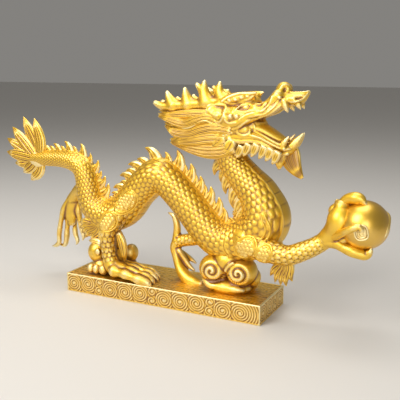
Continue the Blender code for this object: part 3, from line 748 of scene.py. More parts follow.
def standing_tree(material: bpy.types.Material) -> bpy.types.NodeTree:
    """The node tree that stands a copy of a pattern on each foot.

    Args:
        material: The finish that the copies take.

    Returns:
        A tree with the inputs Geometry, Pattern and Breadth.
    """
    tree = bpy.data.node_groups.new("standing copies", "GeometryNodeTree")
    face = tree.interface
    face.new_socket("Geometry", in_out="INPUT", socket_type="NodeSocketGeometry")
    face.new_socket("Pattern", in_out="INPUT", socket_type="NodeSocketObject")
    face.new_socket("Breadth", in_out="INPUT", socket_type="NodeSocketFloat")
    face.new_socket("Geometry", in_out="OUTPUT", socket_type="NodeSocketGeometry")
    nodes, links = tree.nodes, tree.links
    entry, leave = nodes.new("NodeGroupInput"), nodes.new("NodeGroupOutput")
    pattern = nodes.new("GeometryNodeObjectInfo")
    links.new(entry.outputs["Pattern"], pattern.inputs["Object"])
    read = {}
    for label, kind in (("along", "FLOAT_VECTOR"), ("outward", "FLOAT_VECTOR"), ("size", "FLOAT")):
        named = nodes.new("GeometryNodeInputNamedAttribute")
        named.data_type = kind
        named.inputs["Name"].default_value = label
        read[label] = named.outputs["Attribute"]
    turn = nodes.new("FunctionNodeAxesToRotation")
    turn.primary_axis = "Z"
    turn.secondary_axis = "X"
    links.new(read["outward"], turn.inputs["Primary Axis"])
    links.new(read["along"], turn.inputs["Secondary Axis"])
    broad = nodes.new("ShaderNodeMath")
    broad.operation = "MULTIPLY"
    links.new(read["size"], broad.inputs[0])
    links.new(entry.outputs["Breadth"], broad.inputs[1])
    size = nodes.new("ShaderNodeCombineXYZ")
    links.new(read["size"], size.inputs["X"])
    links.new(broad.outputs[0], size.inputs["Y"])
    links.new(read["size"], size.inputs["Z"])
    stand = nodes.new("GeometryNodeInstanceOnPoints")
    links.new(entry.outputs["Geometry"], stand.inputs["Points"])
    links.new(pattern.outputs["Geometry"], stand.inputs["Instance"])
    links.new(turn.outputs["Rotation"], stand.inputs["Rotation"])
    links.new(size.outputs["Vector"], stand.inputs["Scale"])
    real = nodes.new("GeometryNodeRealizeInstances")
    links.new(stand.outputs["Instances"], real.inputs["Geometry"])
    dress = nodes.new("GeometryNodeSetMaterial")
    dress.inputs["Material"].default_value = material
    links.new(real.outputs["Geometry"], dress.inputs["Geometry"])
    links.new(dress.outputs["Geometry"], leave.inputs["Geometry"])
    return tree


def stand_pattern(feet: Feet, pattern: bpy.types.Mesh, material: bpy.types.Material,
                  breadth: float) -> bpy.types.Mesh:
    """Stand a pattern on feet with Geometry Nodes.

    Args:
        feet: Where the copies stand.
        pattern: A mesh of unit size that rises in Z.
        material: The finish that the copies take.
        breadth: Width of the copies in Y, as a share of their size.

    Returns:
        All copies as one plain mesh.
    """
    holder = bpy.data.objects.new("pattern", pattern)
    rows = bpy.data.objects.new("feet", feet.mesh())
    for obj in (holder, rows):
        bpy.context.collection.objects.link(obj)
    tree = standing_tree(material)
    nodes = rows.modifiers.new("copies", "NODES")
    nodes.node_group = tree
    sockets = {item.name: item.identifier for item in tree.interface.items_tree if item.in_out == "INPUT"}
    nodes[sockets["Pattern"]] = holder
    nodes[sockets["Breadth"]] = breadth
    evaluated = rows.evaluated_get(bpy.context.evaluated_depsgraph_get())
    mesh = bpy.data.meshes.new_from_object(evaluated)
    rows.modifiers.remove(nodes)
    for used in (rows, holder):
        bpy.data.objects.remove(used, do_unlink=True)
    return mesh


SPINE = [
    (-160.3, 0, 122.4, 5.6), (-141.0, 0, 123.1, 7.8), (-124.7, 0, 123.7, 8.5),
    (-110.1, 0, 122.6, 9.8), (-99.5, 0, 117.9, 10.9), (-93.9, 0, 108.4, 11.7),
    (-90.9, 0, 93.8, 13.0), (-85.5, 0, 80.3, 14.3), (-70.6, 0, 71.9, 16.0),
    (-49.6, 0, 79.9, 16.2), (-33.6, 0, 98.8, 15.9), (-16.0, 0, 113.9, 16.4),
    (-3.3, 0, 112.6, 16.2), (17.2, 0, 94.0, 16.3), (41.3, 0, 67.8, 17.0),
    (58.1, 0, 61.6, 17.7), (80.0, 0, 68.0, 20.0), (92.6, 0, 84.6, 21.2),
    (86.3, 0, 103.9, 17.8), (74.4, 0, 117.8, 14.8), (64.0, 0, 129.2, 13.4),
    (58.3, 0, 141.0, 13.0), (58.0, 0, 155.0, 13.5), (60.0, 0, 170.0, 13.0),
]


# Crest


@dataclass
class Crest:
    """Hooked spikes along the back, tall and short in turn."""

    spine: Knots
    pitch: float = 6.2
    start: float = 8.0
    end_share: float = 0.9
    tall: float = 10.8
    short: float = 6.6
    lean: float = 0.6
    sink: float = 2.5
    dips: tuple[tuple[float, float, float], ...] = ((8.3, 2.0, 0.1), (15.3, 2.0, 0.3))

    def feet(self) -> "Feet":
        """One foot for each spike, tall and short in turn."""
        order = np.arange(len(self.spine), dtype=float)
        path = smooth_path([(*knot, index) for knot, index in zip(self.spine, order)], 0.5)
        length = arc_length(path)
        stations = np.arange(self.start, length[-1], self.pitch)
        table = resample(path, length, stations)
        tangents, _, ups = frames_along(resample(path[:, :3], length, stations), SIDE_AXIS)
        keep = table[:, 4] < self.end_share * order[-1]
        share = np.minimum(1.0, table[:, 3] / 14.0)
        for low_at, span, least in self.dips:
            share = np.minimum(share, least + (1 - least) * np.abs(table[:, 4] - low_at) / span)
        wave = 1 + 0.12 * np.sin(np.arange(len(table)) * 2.4)
        height = np.where(np.arange(len(table)) % 2 == 0, self.tall, self.short) * share * wave
        roots = table[:, :3] + ups * (table[:, 3] - self.sink)[:, None]
        return Feet(roots[keep], ups[keep], tangents[keep], height[keep] + self.sink)

    def spike(self) -> bpy.types.Mesh:
        """One spike of unit height that rises in Z and leans to -X."""
        skin = Skin()
        reach = 1 / MM
        knots = [(0.05, 0, 0, 0.54), (0.06, 0, 0.2, 0.5), (-0.04, 0, 0.48, 0.4),
                 (-0.22, 0, 0.76, 0.25), (-self.lean, 0, 1.0, 0.03)]
        scaled = [tuple(reach * value for value in knot) for knot in knots]
        Lock(scaled, strands=3, thick=0.17 * reach, groove=0.06 * reach, spacing=0.11 * reach, hairs=1).add_to(skin)
        return skin.mesh("spike pattern")

    def mesh(self, material: bpy.types.Material) -> bpy.types.Mesh:
        """All spikes as one plain mesh."""
        return stand_pattern(self.feet(), self.spike(), material, 1.0)


# Tail fin, mane, beard and other grooved locks


@dataclass
class TailFin:
    """The fan of pointed lobes at the end of the tail."""

    root: tuple[float, float, float] = (-154.0, 0.0, 121.5)
    lobes: tuple[tuple[float, float, float], ...] = (
        (93, 41, -6), (111, 45, -2), (135, 44, 0), (154, 43.5, 0), (173, 41, 0), (192, 31, 1),
        (218, 25, 1), (246, 25, 5),
    )
    width: float = 7.2

    def mesh(self) -> bpy.types.Mesh:
        """The lobes over a rounded root."""
        skin = Skin()
        lump(skin, self.root, (11, 5.5, 9))
        for number, (angle, length, bow) in enumerate(self.lobes):
            turn = math.radians(angle)
            ray = Vector((math.cos(turn), 0, math.sin(turn)))
            side = Vector((-ray.z, 0, ray.x))
            lift = 1.4 if number % 2 else -1.4
            knots = []
            for part, swell, width in ((0.0, 0.6, 0.7), (0.35, 1.0, 0.95), (0.6, 0.8, 0.9),
                                       (0.82, 0.35, 0.55), (1.0, 0.0, 0.03)):
                place = Vector(self.root) + ray * length * part + side * bow * swell
                knots.append((place.x, place.y + lift * (1 - part), place.z, self.width * width))
            Lock(knots, strands=4, thick=3.2, groove=1.1, hairs=2).add_to(skin)
        return skin.mesh("tail fin")


@dataclass
class Mane:
    """Bands of hair that stream back from the cheeks, written for the far side."""

    bands: tuple[tuple[Knots, int], ...] = (
        (((54, 12.5, 174.6, 3.4), (36, 13, 173.8, 3.8), (21, 12.5, 172.8, 3.8), (7, 11.5, 171.8, 2.9),
          (-5.6, 9.5, 173.0, 0.3)), 2),
        (((54, 14.4, 168, 4.4), (44, 15.0, 170.6, 4.4), (33, 15.2, 168.0, 4.4), (23, 14.6, 165.0, 4.4),
          (13, 13.8, 166.2, 4.2), (4, 12.3, 168.6, 3.0), (-6.5, 10.5, 170.4, 0.3)), 3),
        (((66, 14.5, 161, 4.0), (52, 15.2, 162.6, 5.0), (39, 14.8, 160.4, 5.4), (26, 14, 156.4, 5.2),
          (12, 12.5, 157.0, 4.6), (0.2, 10.5, 162.6, 0.4)), 3),
        (((61, 14, 154.2, 4.6), (46, 14.6, 153.8, 5.8), (33, 14.2, 151.6, 5.4), (18, 12.6, 149.2, 4.0),
          (5.6, 10.5, 148.2, 0.4)), 3),
        (((68, 13, 147.7, 5.2), (56, 13.8, 143.8, 6.6), (43, 13.6, 142.6, 6.6), (30, 12.4, 143.6, 5.2),
          (18, 10.8, 145.2, 3.2), (6.0, 9, 147.0, 0.3)), 4),
    )
    inner_rows: tuple[tuple[float, float, float], ...] = ((0.55, -3.0, -1.0), (0.15, -5.5, 1.5))
    edge: Knots = (
        (60.6, 15.6, 161.8, 0.9), (51.4, 16.2, 165.2, 1.1), (43.9, 16.8, 168.4, 1.2), (37.3, 16.8, 167.4, 1.2),
        (29.7, 16.4, 163.4, 1.2), (22.9, 15.8, 161.6, 1.2), (15.6, 15.0, 163.8, 1.1), (8.0, 13.6, 167.0, 1.0),
        (1.0, 12.0, 169.6, 0.9), (-6.0, 10.2, 171.2, 0.4),
    )

    def mesh(self) -> bpy.types.Mesh:
        """Outer bands on both sides and inner ones between them."""
        skin = Skin()
        for side in Side:
            outward = (0.0, float(side.value), 0.0)
            tube(skin, on_side(self.edge, side), around=12, spacing=1.2)
            for knots, strands in self.bands:
                Lock(on_side(knots, side), strands=strands, thick=3.6, groove=1.15, normal=outward,
                     uneven=0.15, strand_share=0.55, two_sided=False).add_to(skin)
                for depth, reach, lift in self.inner_rows:
                    inner = [(x + reach * (i / (len(knots) - 1)) ** 2, y * depth, z + lift, w * 1.05)
                             for i, (x, y, z, w) in enumerate(knots)]
                    Lock(on_side(inner, side), strands=strands, thick=4.0, groove=1.0, normal=outward,
                         spacing=2.0, hairs=2, two_sided=False).add_to(skin)
        return skin.mesh("mane")


@dataclass
class Tufts:
    """Grooved leaves and tufts: beard, jaw fringe, cheek leaves, elbow fur, hip flame and leaves."""

    beard: tuple[Knots, ...] = (
        ((112.4, 0.6, 152.0, 6.0), (112.0, 0.4, 145.0, 8.4), (113.6, 0.2, 137.4, 8.6), (118.0, 0, 129.6, 5.6),
         (123.8, 0, 122.8, 1.3)),
        ((104.6, -3.0, 147.0, 4.6), (104.8, -3.0, 141.0, 5.6), (104.6, -3.0, 135.4, 4.2), (104.4, -3.0, 129.6, 1.3)),
    )
    fringe: tuple[tuple[float, float], ...] = (
        (61.0, 140.4), (68.7, 137.8), (75.0, 139.7), (82.2, 139.7), (89.2, 138.4), (95.0, 136.8), (100.9, 134.6),
    )
    fringe_root: tuple[float, float] = (5.6, 11.2)
    cheek_leaves: tuple[Knots, ...] = (
        ((61.5, 15.4, 160.5, 3.2), (56, 16.2, 154.5, 5.4), (52.4, 16.2, 150.5, 4.0), (48.4, 16.0, 145.6, 0.3)),
        ((67.5, 15.2, 153.5, 3.2), (64, 16.0, 147.8, 4.8), (61.6, 15.6, 144.0, 3.2), (59.4, 15.2, 139.4, 0.3)),
    )
    elbow_root: tuple[float, float, float] = (117.5, -16.0, 59.0)
    elbow_tips: tuple[tuple[float, float, float], ...] = (
        (103.0, -15, 40.5), (108.0, -17, 36.0), (113.4, -18, 34.6), (118.4, -18, 34.4), (123.0, -16, 38.6),
    )
    flame_root: tuple[float, float, float] = (-72.0, -10.0, 66.0)
    flame_tips: tuple[tuple[float, float, float], ...] = (
        (-99.4, -8, 63.2), (-98.6, -9, 57.6), (-95.4, -10, 53.4), (-90.4, -11, 49.4), (-82.0, -11, 46.2),
    )
    leaves: tuple[Knots, ...] = (
        ((-49.6, -14, 60.6, 2.4), (-45.6, -15.4, 53.5, 4.8), (-43.4, -15.4, 45.0, 4.4), (-43.0, -14.4, 38.0, 2.6),
         (-43.6, -13.4, 33.0, 0.8)),
        ((-70.0, -13, 46.5, 4.0), (-77.0, -13, 48.0, 3.6), (-84.6, -12.6, 47.8, 0.6)),
    )

    def tuft(self, skin: Skin, root: tuple[float, ...], tip: tuple[float, ...], width: float,
             bow: float, strands: int) -> None:
        """Add one pointed lock from root to tip that bows in the XZ plane."""
        start, end = Vector(root), Vector(tip)
        along = end - start
        side = Vector((-along.z, 0, along.x)).normalized()
        knots = []
        for part, swell in ((0.0, 0.8), (0.35, 1.0), (0.7, 0.75), (1.0, 0.06)):
            place = start + along * part + side * bow * math.sin(2 * math.pi * part)
            knots.append((*place, width * swell))
        Lock(knots, strands=strands, thick=width * 0.6, groove=0.8, spacing=1.2, hairs=2).add_to(skin)

    def saw_tooth(self, skin: Skin, tip_x: float, tip_z: float, side: Side) -> None:
        """Add one flat pointed leaf of the fringe under the jaw."""
        run, rise = self.fringe_root
        knots = [(tip_x + run * (1 - part), 12.4 - part, tip_z + rise * (1 - part) ** 1.3, width)
                 for part, width in ((0.0, 3.4), (0.35, 3.5), (0.7, 2.2), (1.0, 0.2))]
        Lock(on_side(knots, side), strands=3, thick=2.0, groove=0.35, spacing=1.1, hairs=1).add_to(skin)

    def mesh(self) -> bpy.types.Mesh:
        """All tufts as one mesh."""
        skin = Skin()
        for knots in self.beard:
            Lock(knots, strands=3, thick=3.0, groove=0.28, spacing=1.2, uneven=0.5, strand_share=0.5).add_to(skin)
        for side in Side:
            for tip_x, tip_z in self.fringe:
                self.saw_tooth(skin, tip_x, tip_z, side)
            for knots in self.cheek_leaves:
                Lock(on_side(knots, side), strands=2, thick=1.3, groove=0.45, hairs=2).add_to(skin)
        for tip in self.elbow_tips:
            self.tuft(skin, self.elbow_root, tip, 4.4, 0.8, 3)
        for tip in self.flame_tips:
            self.tuft(skin, self.flame_root, tip, 5.4, 1.2, 3)
        for knots in self.leaves:
            Lock(knots, strands=3, thick=3.0, groove=0.9, hairs=2).add_to(skin)
        return skin.mesh("tufts")


# Head


@dataclass
class Carver:
    """Carves dents into a mesh and lays half-sunk ridges and knobs on its flanks.

    Marks are written by x and z alone, and both flanks get them.
    """

    mesh: bpy.types.Mesh
    facing: float = 0.35

    def __post_init__(self) -> None:
        """Keep a search tree of the surface."""
        self.refresh()

    def refresh(self) -> None:
        """Rebuild the search tree after the mesh has changed."""
        shape = bmesh.new()
        shape.from_mesh(self.mesh)
        self.tree = BVHTree.FromBMesh(shape)
        shape.free()

    def refresh_with(self, skin: Skin) -> None:
        """Add the shells of a skin to the surface that marks are laid on."""
        both = Skin()
        both.take(self.mesh)
        if skin.count:
            both.take(skin.mesh("laid"))
        shape = bmesh.new()
        shape.from_mesh(both.mesh("both"))
        self.tree = BVHTree.FromBMesh(shape)
        shape.free()

    def surface(self, x: float, z: float, side: Side) -> float | None:
        """Y of the outermost surface at a place on a flank, in millimetres."""
        start = Vector((x, side.value * 200.0, z)) * MM
        hit = self.tree.ray_cast(start, Vector((0, -side.value, 0)))[0]
        return None if hit is None else hit.y / MM

    def dents(self, marks: tuple[tuple[float, ...], ...]) -> None:
        """Push soft hollows (x, z, reach in x, reach in z, depth) into both flanks."""
        points, normals = read_points(self.mesh), read_normals(self.mesh)
        flank = smoothstep(0.1, self.facing, np.abs(normals[:, 1]))
        push = np.zeros(len(points))
        for x, z, reach_x, reach_z, depth in marks:
            far = ((points[:, 0] - x) / reach_x) ** 2 + ((points[:, 2] - z) / reach_z) ** 2
            push -= depth * np.exp(-far ** 2)
        write_points(self.mesh, points + normals * (push * flank)[:, None])
        self.refresh()

    def ridge(self, skin: Skin, knots: Knots, side: Side, sink: float = 0.55) -> None:
        """Add a half-sunk ridge through (x, z, radius) to a skin."""
        rows = smooth_path([(x, 0.0, z, radius) for x, z, radius in knots], 1.0)
        previous = None
        placed = []
        for x, _, z, radius in rows:
            level = self.surface(x, z, side)
            if level is None:
                level = previous
            if level is None:
                continue
            previous = level if previous is None else 0.5 * (level + previous)
            placed.append((x, previous - side.value * radius * sink, z, radius))
        if len(placed) > 2:
            tube(skin, placed, around=10, spacing=0.9)

    def knob(self, skin: Skin, x: float, z: float, radii: tuple[float, ...], side: Side,
             sink: float = 0.4) -> None:
        """Add a half-sunk knob to a skin."""
        level = self.surface(x, z, side)
        if level is not None:
            lump(skin, (x, level - side.value * radii[1] * sink, z), radii, 16)


@dataclass
class Head:
    """Skull, jaws, lips, eyes, brows and teeth. Paired pieces are written for the far side."""

    lumps: tuple[tuple[float, ...], ...] = (
        (60.0, 0, 172.5, 17.0, 15.5, 16.0), (74.0, 0, 181.0, 14.0, 12.5, 9.8),
        (105.8, 0, 193.8, 7.0, 7.0, 7.6), (66.0, 0, 154.0, 12.0, 14.5, 9.0),
        (80.0, 0, 165.5, 12.0, 11.0, 9.0),
    )
    upper_jaw: tuple[tuple[float, ...], ...] = (
        (62, 0, 172, 12.0), (76, 0, 176, 9.0), (88, 0, 177.2, 6.4), (98, 0, 183.0, 6.4),
        (106, 0, 188.6, 5.2), (112, 0, 190.2, 3.4),
    )
    front_lip: Knots = (
        (104, 0, 187.0, 5.0), (112, 0, 187.4, 5.6), (118, 0, 187.6, 5.8), (123, 0, 190.2, 3.9), (128.2, 0, 193.7, 0.7),
    )
    tongue: Knots = ((74, 0, 166.0, 7.5), (87.4, 0, 162.3, 5.4), (98, 0, 157.4, 4.5), (107.0, 0, 152.8, 3.4))
    lower_jaw: tuple[tuple[float, ...], ...] = (
        (62, 0, 154, 8.0), (78, 0, 152.8, 5.7), (90, 0, 151.0, 4.6), (101, 0, 147.4, 4.1),
        (111, 0, 145.2, 4.6), (115.0, 0, 147.2, 3.4),
    )
    fills: tuple[Knots, ...] = (
        [(50, 9, 172, 8.5), (62, 9.5, 171, 9.2), (74, 8.8, 172.8, 8.4), (84, 8.0, 177, 6.8),
         (91, 7.0, 178.8, 5.6), (98, 6.0, 184, 5.4), (103, 5.5, 190, 5.4)],
        [(108, 6, 186.2, 2.8), (99, 8.6, 179.4, 3.8), (89, 11.0, 175.8, 4.4), (80, 12.4, 172.4, 5.0),
         (70, 12.8, 168.2, 5.4), (60, 12.8, 168.2, 5.8), (48, 12.2, 172, 5.0), (38, 12.0, 170.5, 4.4)],
        [(62, 9, 156, 7.0), (74, 9.2, 156, 6.0), (85, 8.8, 156, 4.8), (95, 7.6, 152.8, 4.4),
         (104, 6.0, 149.0, 4.2), (111, 4.0, 147.4, 4.0)],
        [(52, 8, 180, 6.5), (60, 8, 184.8, 6.0), (70, 7.4, 187.6, 4.9), (79, 6.8, 188.2, 4.2)],
        [(47, 12.8, 176.6, 5.0), (54, 13.4, 174, 6.0)],
        [(68, 9.2, 162, 7.0), (76, 8.6, 162.0, 6.4)],
        [(74, 8.4, 189.4, 3.4), (80, 8.0, 190.4, 2.8), (85.8, 7.2, 192.2, 0.7)],
    )
    cores: tuple[Knots, ...] = (
        [(58, 0, 166, 13.0), (36, 0, 160, 12.0), (14, 0, 161, 8.0), (2, 0, 163, 4.0)],
        [(66, 0, 147, 8.0), (52, 0, 144, 9.0), (38, 0, 145, 8.0), (22, 0, 147, 4.0)],
    )
    hollows: tuple[tuple[float, ...], ...] = (
        (77.0, 180.2, 6.0, 3.6, 1.3), (68.0, 182.6, 7.0, 1.8, 0.8), (108.8, 195.0, 1.9, 2.3, 1.5), (121.0, 188.4, 3.2, 1.8, 1.6),
        (88.5, 184.5, 3.2, 3.2, 1.5), (52.5, 177.5, 6.0, 3.4, 1.3), (90.0, 171.0, 9.0, 2.0, 1.2),
        (64.0, 177.0, 3.0, 4.0, 0.9), (95.0, 182.5, 2.4, 3.0, 0.9),
    )
    ridges: tuple[Knots, ...] = (
        # Upper lip rim, which runs on into the mane
        [(111.6, 187.6, 1.3), (107.0, 183.6, 1.5), (98.6, 176.6, 1.6), (89.0, 172.9, 1.6),
         (80.3, 169.9, 1.7), (71.0, 163.9, 1.8), (62.9, 163.2, 1.8), (50.0, 169.4, 1.7), (41.6, 170.0, 1.6)],
        # Upper edge of the brow, its flame-like free tip and the fold under it
        [(56.4, 184.6, 1.3), (62.6, 188.6, 1.4), (70.7, 191.0, 1.6), (78.6, 191.4, 1.4), (84.4, 192.0, 0.9)],
        [(59.5, 184.3, 0.9), (65.0, 183.0, 1.0), (70.3, 183.9, 1.1), (74.8, 185.8, 1.1), (79.2, 187.0, 1.0),
         (82.7, 189.6, 0.8)],
        # Lids of the eye
        [(69.6, 178.0, 0.8), (72.6, 181.2, 1.0), (76.8, 182.9, 1.1), (81.0, 182.2, 1.0), (85.4, 178.8, 0.7)],
        [(69.6, 178.0, 0.7), (73.2, 177.0, 0.9), (78.2, 177.0, 0.9), (82.2, 178.4, 0.8), (85.4, 178.8, 0.6)],
        # Fold that runs from the eye to the nose, and the line up the side of the nose
        [(85.4, 180.2, 1.0), (90.0, 177.6, 1.2), (94.0, 179.2, 1.2), (97.6, 184.0, 1.2), (99.6, 189.4, 1.1)],
        # Roll of the nostril
        [(104.6, 195.0, 0.6), (105.8, 198.0, 0.7), (108.6, 199.2, 0.7), (111.4, 197.6, 0.7),
         (112.2, 194.8, 0.6), (110.8, 192.0, 0.6)],
        # Front lip that curls up to its tip
        [(112.6, 192.6, 1.0), (117.0, 192.4, 1.1), (121.6, 192.8, 1.0), (127.0, 194.0, 0.7)],
        [(111.0, 186.6, 0.9), (115.0, 185.6, 0.9), (119.4, 186.0, 0.8), (123.4, 188.0, 0.7), (127.0, 192.4, 0.5)],
        # Double lip of the lower jaw
        [(83.4, 161.6, 0.9), (91.2, 158.2, 1.1), (98.3, 154.6, 1.1), (105.3, 151.2, 1.1), (110.6, 149.6, 1.0)],
        [(82.0, 157.8, 0.9), (89.9, 156.0, 1.1), (97.0, 152.6, 1.1), (103.1, 149.6, 1.1), (108.8, 147.2, 1.1),
         (114.6, 147.6, 0.9)],
        # Smooth bar along the lower edge of the jaw
        [(64.8, 153.2, 2.6), (73.0, 152.6, 2.6), (81.9, 153.2, 2.4), (89.0, 152.4, 2.3), (95.6, 149.8, 2.3),
         (101.6, 146.4, 2.3), (107.6, 143.6, 2.2), (112.0, 143.6, 2.0)],
        # Swirl in the corner of the mouth
        [(84.8, 161.4, 0.8), (83.8, 166.4, 0.9), (78.6, 166.0, 1.0), (73.0, 163.6, 1.0), (71.0, 160.0, 1.0),
         (75.6, 157.4, 1.1), (81.0, 158.9, 1.0), (81.4, 162.4, 0.9), (77.4, 162.8, 0.8), (75.6, 161.0, 0.7)],
        # Ear shield with its hook
        [(43.6, 177.4, 1.1), (43.8, 180.6, 1.2), (51.0, 182.0, 1.2), (59.6, 181.4, 1.2), (60.6, 175.5, 1.2),
         (58.4, 169.8, 1.2), (54.0, 168.2, 1.1), (46.4, 172.4, 1.1), (43.6, 177.4, 1.1)],
        [(50.6, 175.6, 0.8), (54.2, 175.8, 1.0), (57.4, 174.2, 1.0), (57.0, 171.4, 0.9), (54.4, 170.8, 0.8)],
        # Wrinkles of the cheek
        [(62.0, 176.0, 0.8), (61.6, 171.0, 0.9), (65.0, 167.4, 0.9), (71.0, 168.0, 0.8)],
        [(73.6, 170.0, 0.8), (79.0, 174.2, 0.9), (86.0, 176.4, 0.8)],
        [(87.0, 174.4, 0.7), (94.0, 175.6, 0.8), (101.0, 181.0, 0.8), (104.6, 186.6, 0.7)],
    )
    knobs: tuple[tuple[float, ...], ...] = (
        (77.4, 180.0, 3.4, 2.6, 2.4), (66.2, 172.8, 2.5, 2.4, 2.5), (71.4, 172.9, 2.4, 2.2, 2.3),
        (63.0, 185.6, 2.0, 1.6, 1.6), (68.0, 186.4, 2.0, 1.6, 1.6), (73.0, 188.2, 2.0, 1.5, 1.5),
        (78.0, 189.2, 1.8, 1.4, 1.4), (85.6, 187.6, 2.2, 1.8, 2.4), (91.4, 183.6, 1.8, 1.6, 1.8),
        (109.6, 147.6, 2.2, 2.2, 2.2), (64.4, 153.6, 3.0, 2.4, 3.0), (60.0, 159.2, 2.6, 2.0, 2.0),
        (66.0, 159.6, 2.2, 1.8, 1.8), (105.2, 188.8, 2.2, 1.8, 1.6),
    )
    fangs: tuple[Knots, ...] = (
        [(108.8, 6.4, 185.6, 3.5), (109.8, 7.2, 182.4, 3.1), (111.2, 7.6, 179.4, 2.0), (112.2, 7.6, 177.2, 0.7)],
        [(118.8, 3.8, 185.6, 3.1), (119.8, 4.4, 183.4, 2.8), (121.0, 4.8, 181.4, 1.8), (121.8, 4.8, 179.8, 0.7)],
        [(107.6, 6.4, 148.4, 3.4), (109.2, 7.2, 151.4, 2.8), (111.4, 7.8, 154.8, 1.8), (113.8, 8.0, 158.0, 0.6)],
        [(112.6, 1.8, 147.5, 4.6), (116.4, 2.0, 151.0, 4.1), (120.0, 2.0, 155.2, 2.9), (123.6, 1.6, 159.8, 0.9)],
    )
    teeth: tuple[tuple[float, float, float], ...] = (
        (103.4, 8.0, 182.0), (99.6, 9.0, 178.6), (115.2, 6.4, 186.4),
    )

    def mesh(self, workshop: "Workshop") -> bpy.types.Mesh:
        """The fused and carved head."""
        skin = Skin()
        for x, y, z, *radii in self.lumps:
            lump(skin, (x, y, z), tuple(radii))
        for jaw in (self.upper_jaw, self.lower_jaw):
            tube(skin, list(jaw), around=32, flat=1.7)
        tube(skin, self.front_lip, around=32, spacing=1.0, flat=1.5)
        tube(skin, self.tongue, around=32, spacing=1.0, flat=1.9)
        for knots in self.cores:
            tube(skin, knots, around=32)
        for side in Side:
            for knots in self.fills:
                tube(skin, on_side(knots, side), around=24)
        base = workshop.fused(skin, "head base", 0.6, 12)
        carver = Carver(base)
        carver.dents(self.hollows)
        details = Skin()
        details.take(base)
        for side in Side:
            for knots in self.ridges:
                carver.ridge(details, knots, side)
            for x, z, *radii in self.knobs:
                carver.knob(details, x, z, tuple(radii), side)
            for knots in self.fangs:
                tube(details, on_side(knots, side), around=14, spacing=0.9)
            for x, y, z in self.teeth:
                knots = [(x, y, z, 1.3), (x + 0.6, y, z - 3.2, 0.5)]
                tube(details, on_side(knots, side), around=10, spacing=0.9)
        return workshop.fused(details, "head", 0.54, 5)


@dataclass
class Antlers:
    """A pair of branching antlers that lie back over the mane."""

    offset: float = 6.4
    far_share: float = 0.5
    beam: Knots = (
        (61.1, 184.6, 5.4), (49.5, 183.6, 5.4), (37.2, 181.8, 5.3), (22.7, 180.6, 5.1), (7.8, 179.6, 4.7),
        (-3.9, 178.8, 4.0), (-12.1, 181.6, 2.6),
    )
    tines: tuple[Knots, ...] = (
        ((6.5, 180.0, 7.4), (4.1, 183.4, 5.4), (1.5, 188.0, 3.7), (0.2, 190.8, 2.4)),
        ((21.7, 181.4, 8.0), (20.3, 185.0, 5.8), (18.7, 190.6, 3.8), (17.8, 194.2, 2.4)),
        ((39.5, 183.4, 8.8), (37.7, 188.0, 6.4), (36.5, 193.8, 4.3), (36.8, 200.2, 2.5)),
        ((35.9, 190.8, 4.2), (32.5, 194.8, 3.2), (29.3, 198.2, 2.3)),
        ((54.5, 186.2, 7.8), (51.7, 190.4, 5.2), (50.8, 195.4, 3.4), (51.4, 199.8, 2.2)),
        ((50.3, 190.2, 4.0), (47.9, 193.2, 3.0), (45.1, 196.2, 2.1)),
    )

    def mesh(self, workshop: Workshop) -> bpy.types.Mesh:
        """Both antlers, fused."""
        skin = Skin()
        for side in Side:
            place = side.value * self.offset
            tube(skin, [(x, place, z, radius) for x, z, radius in self.beam], around=20)
            for knots in self.tines:
                foot_x, foot_z, _ = knots[0]
                share = self.far_share if side is Side.FAR else 1.0
                tube(skin, [(foot_x + (x - foot_x) * share, place, foot_z + (z - foot_z) * share, radius)
                            for x, z, radius in knots], around=16, flat=0.8)
        return workshop.fused(skin, "antlers", 0.8, 30)


# Legs


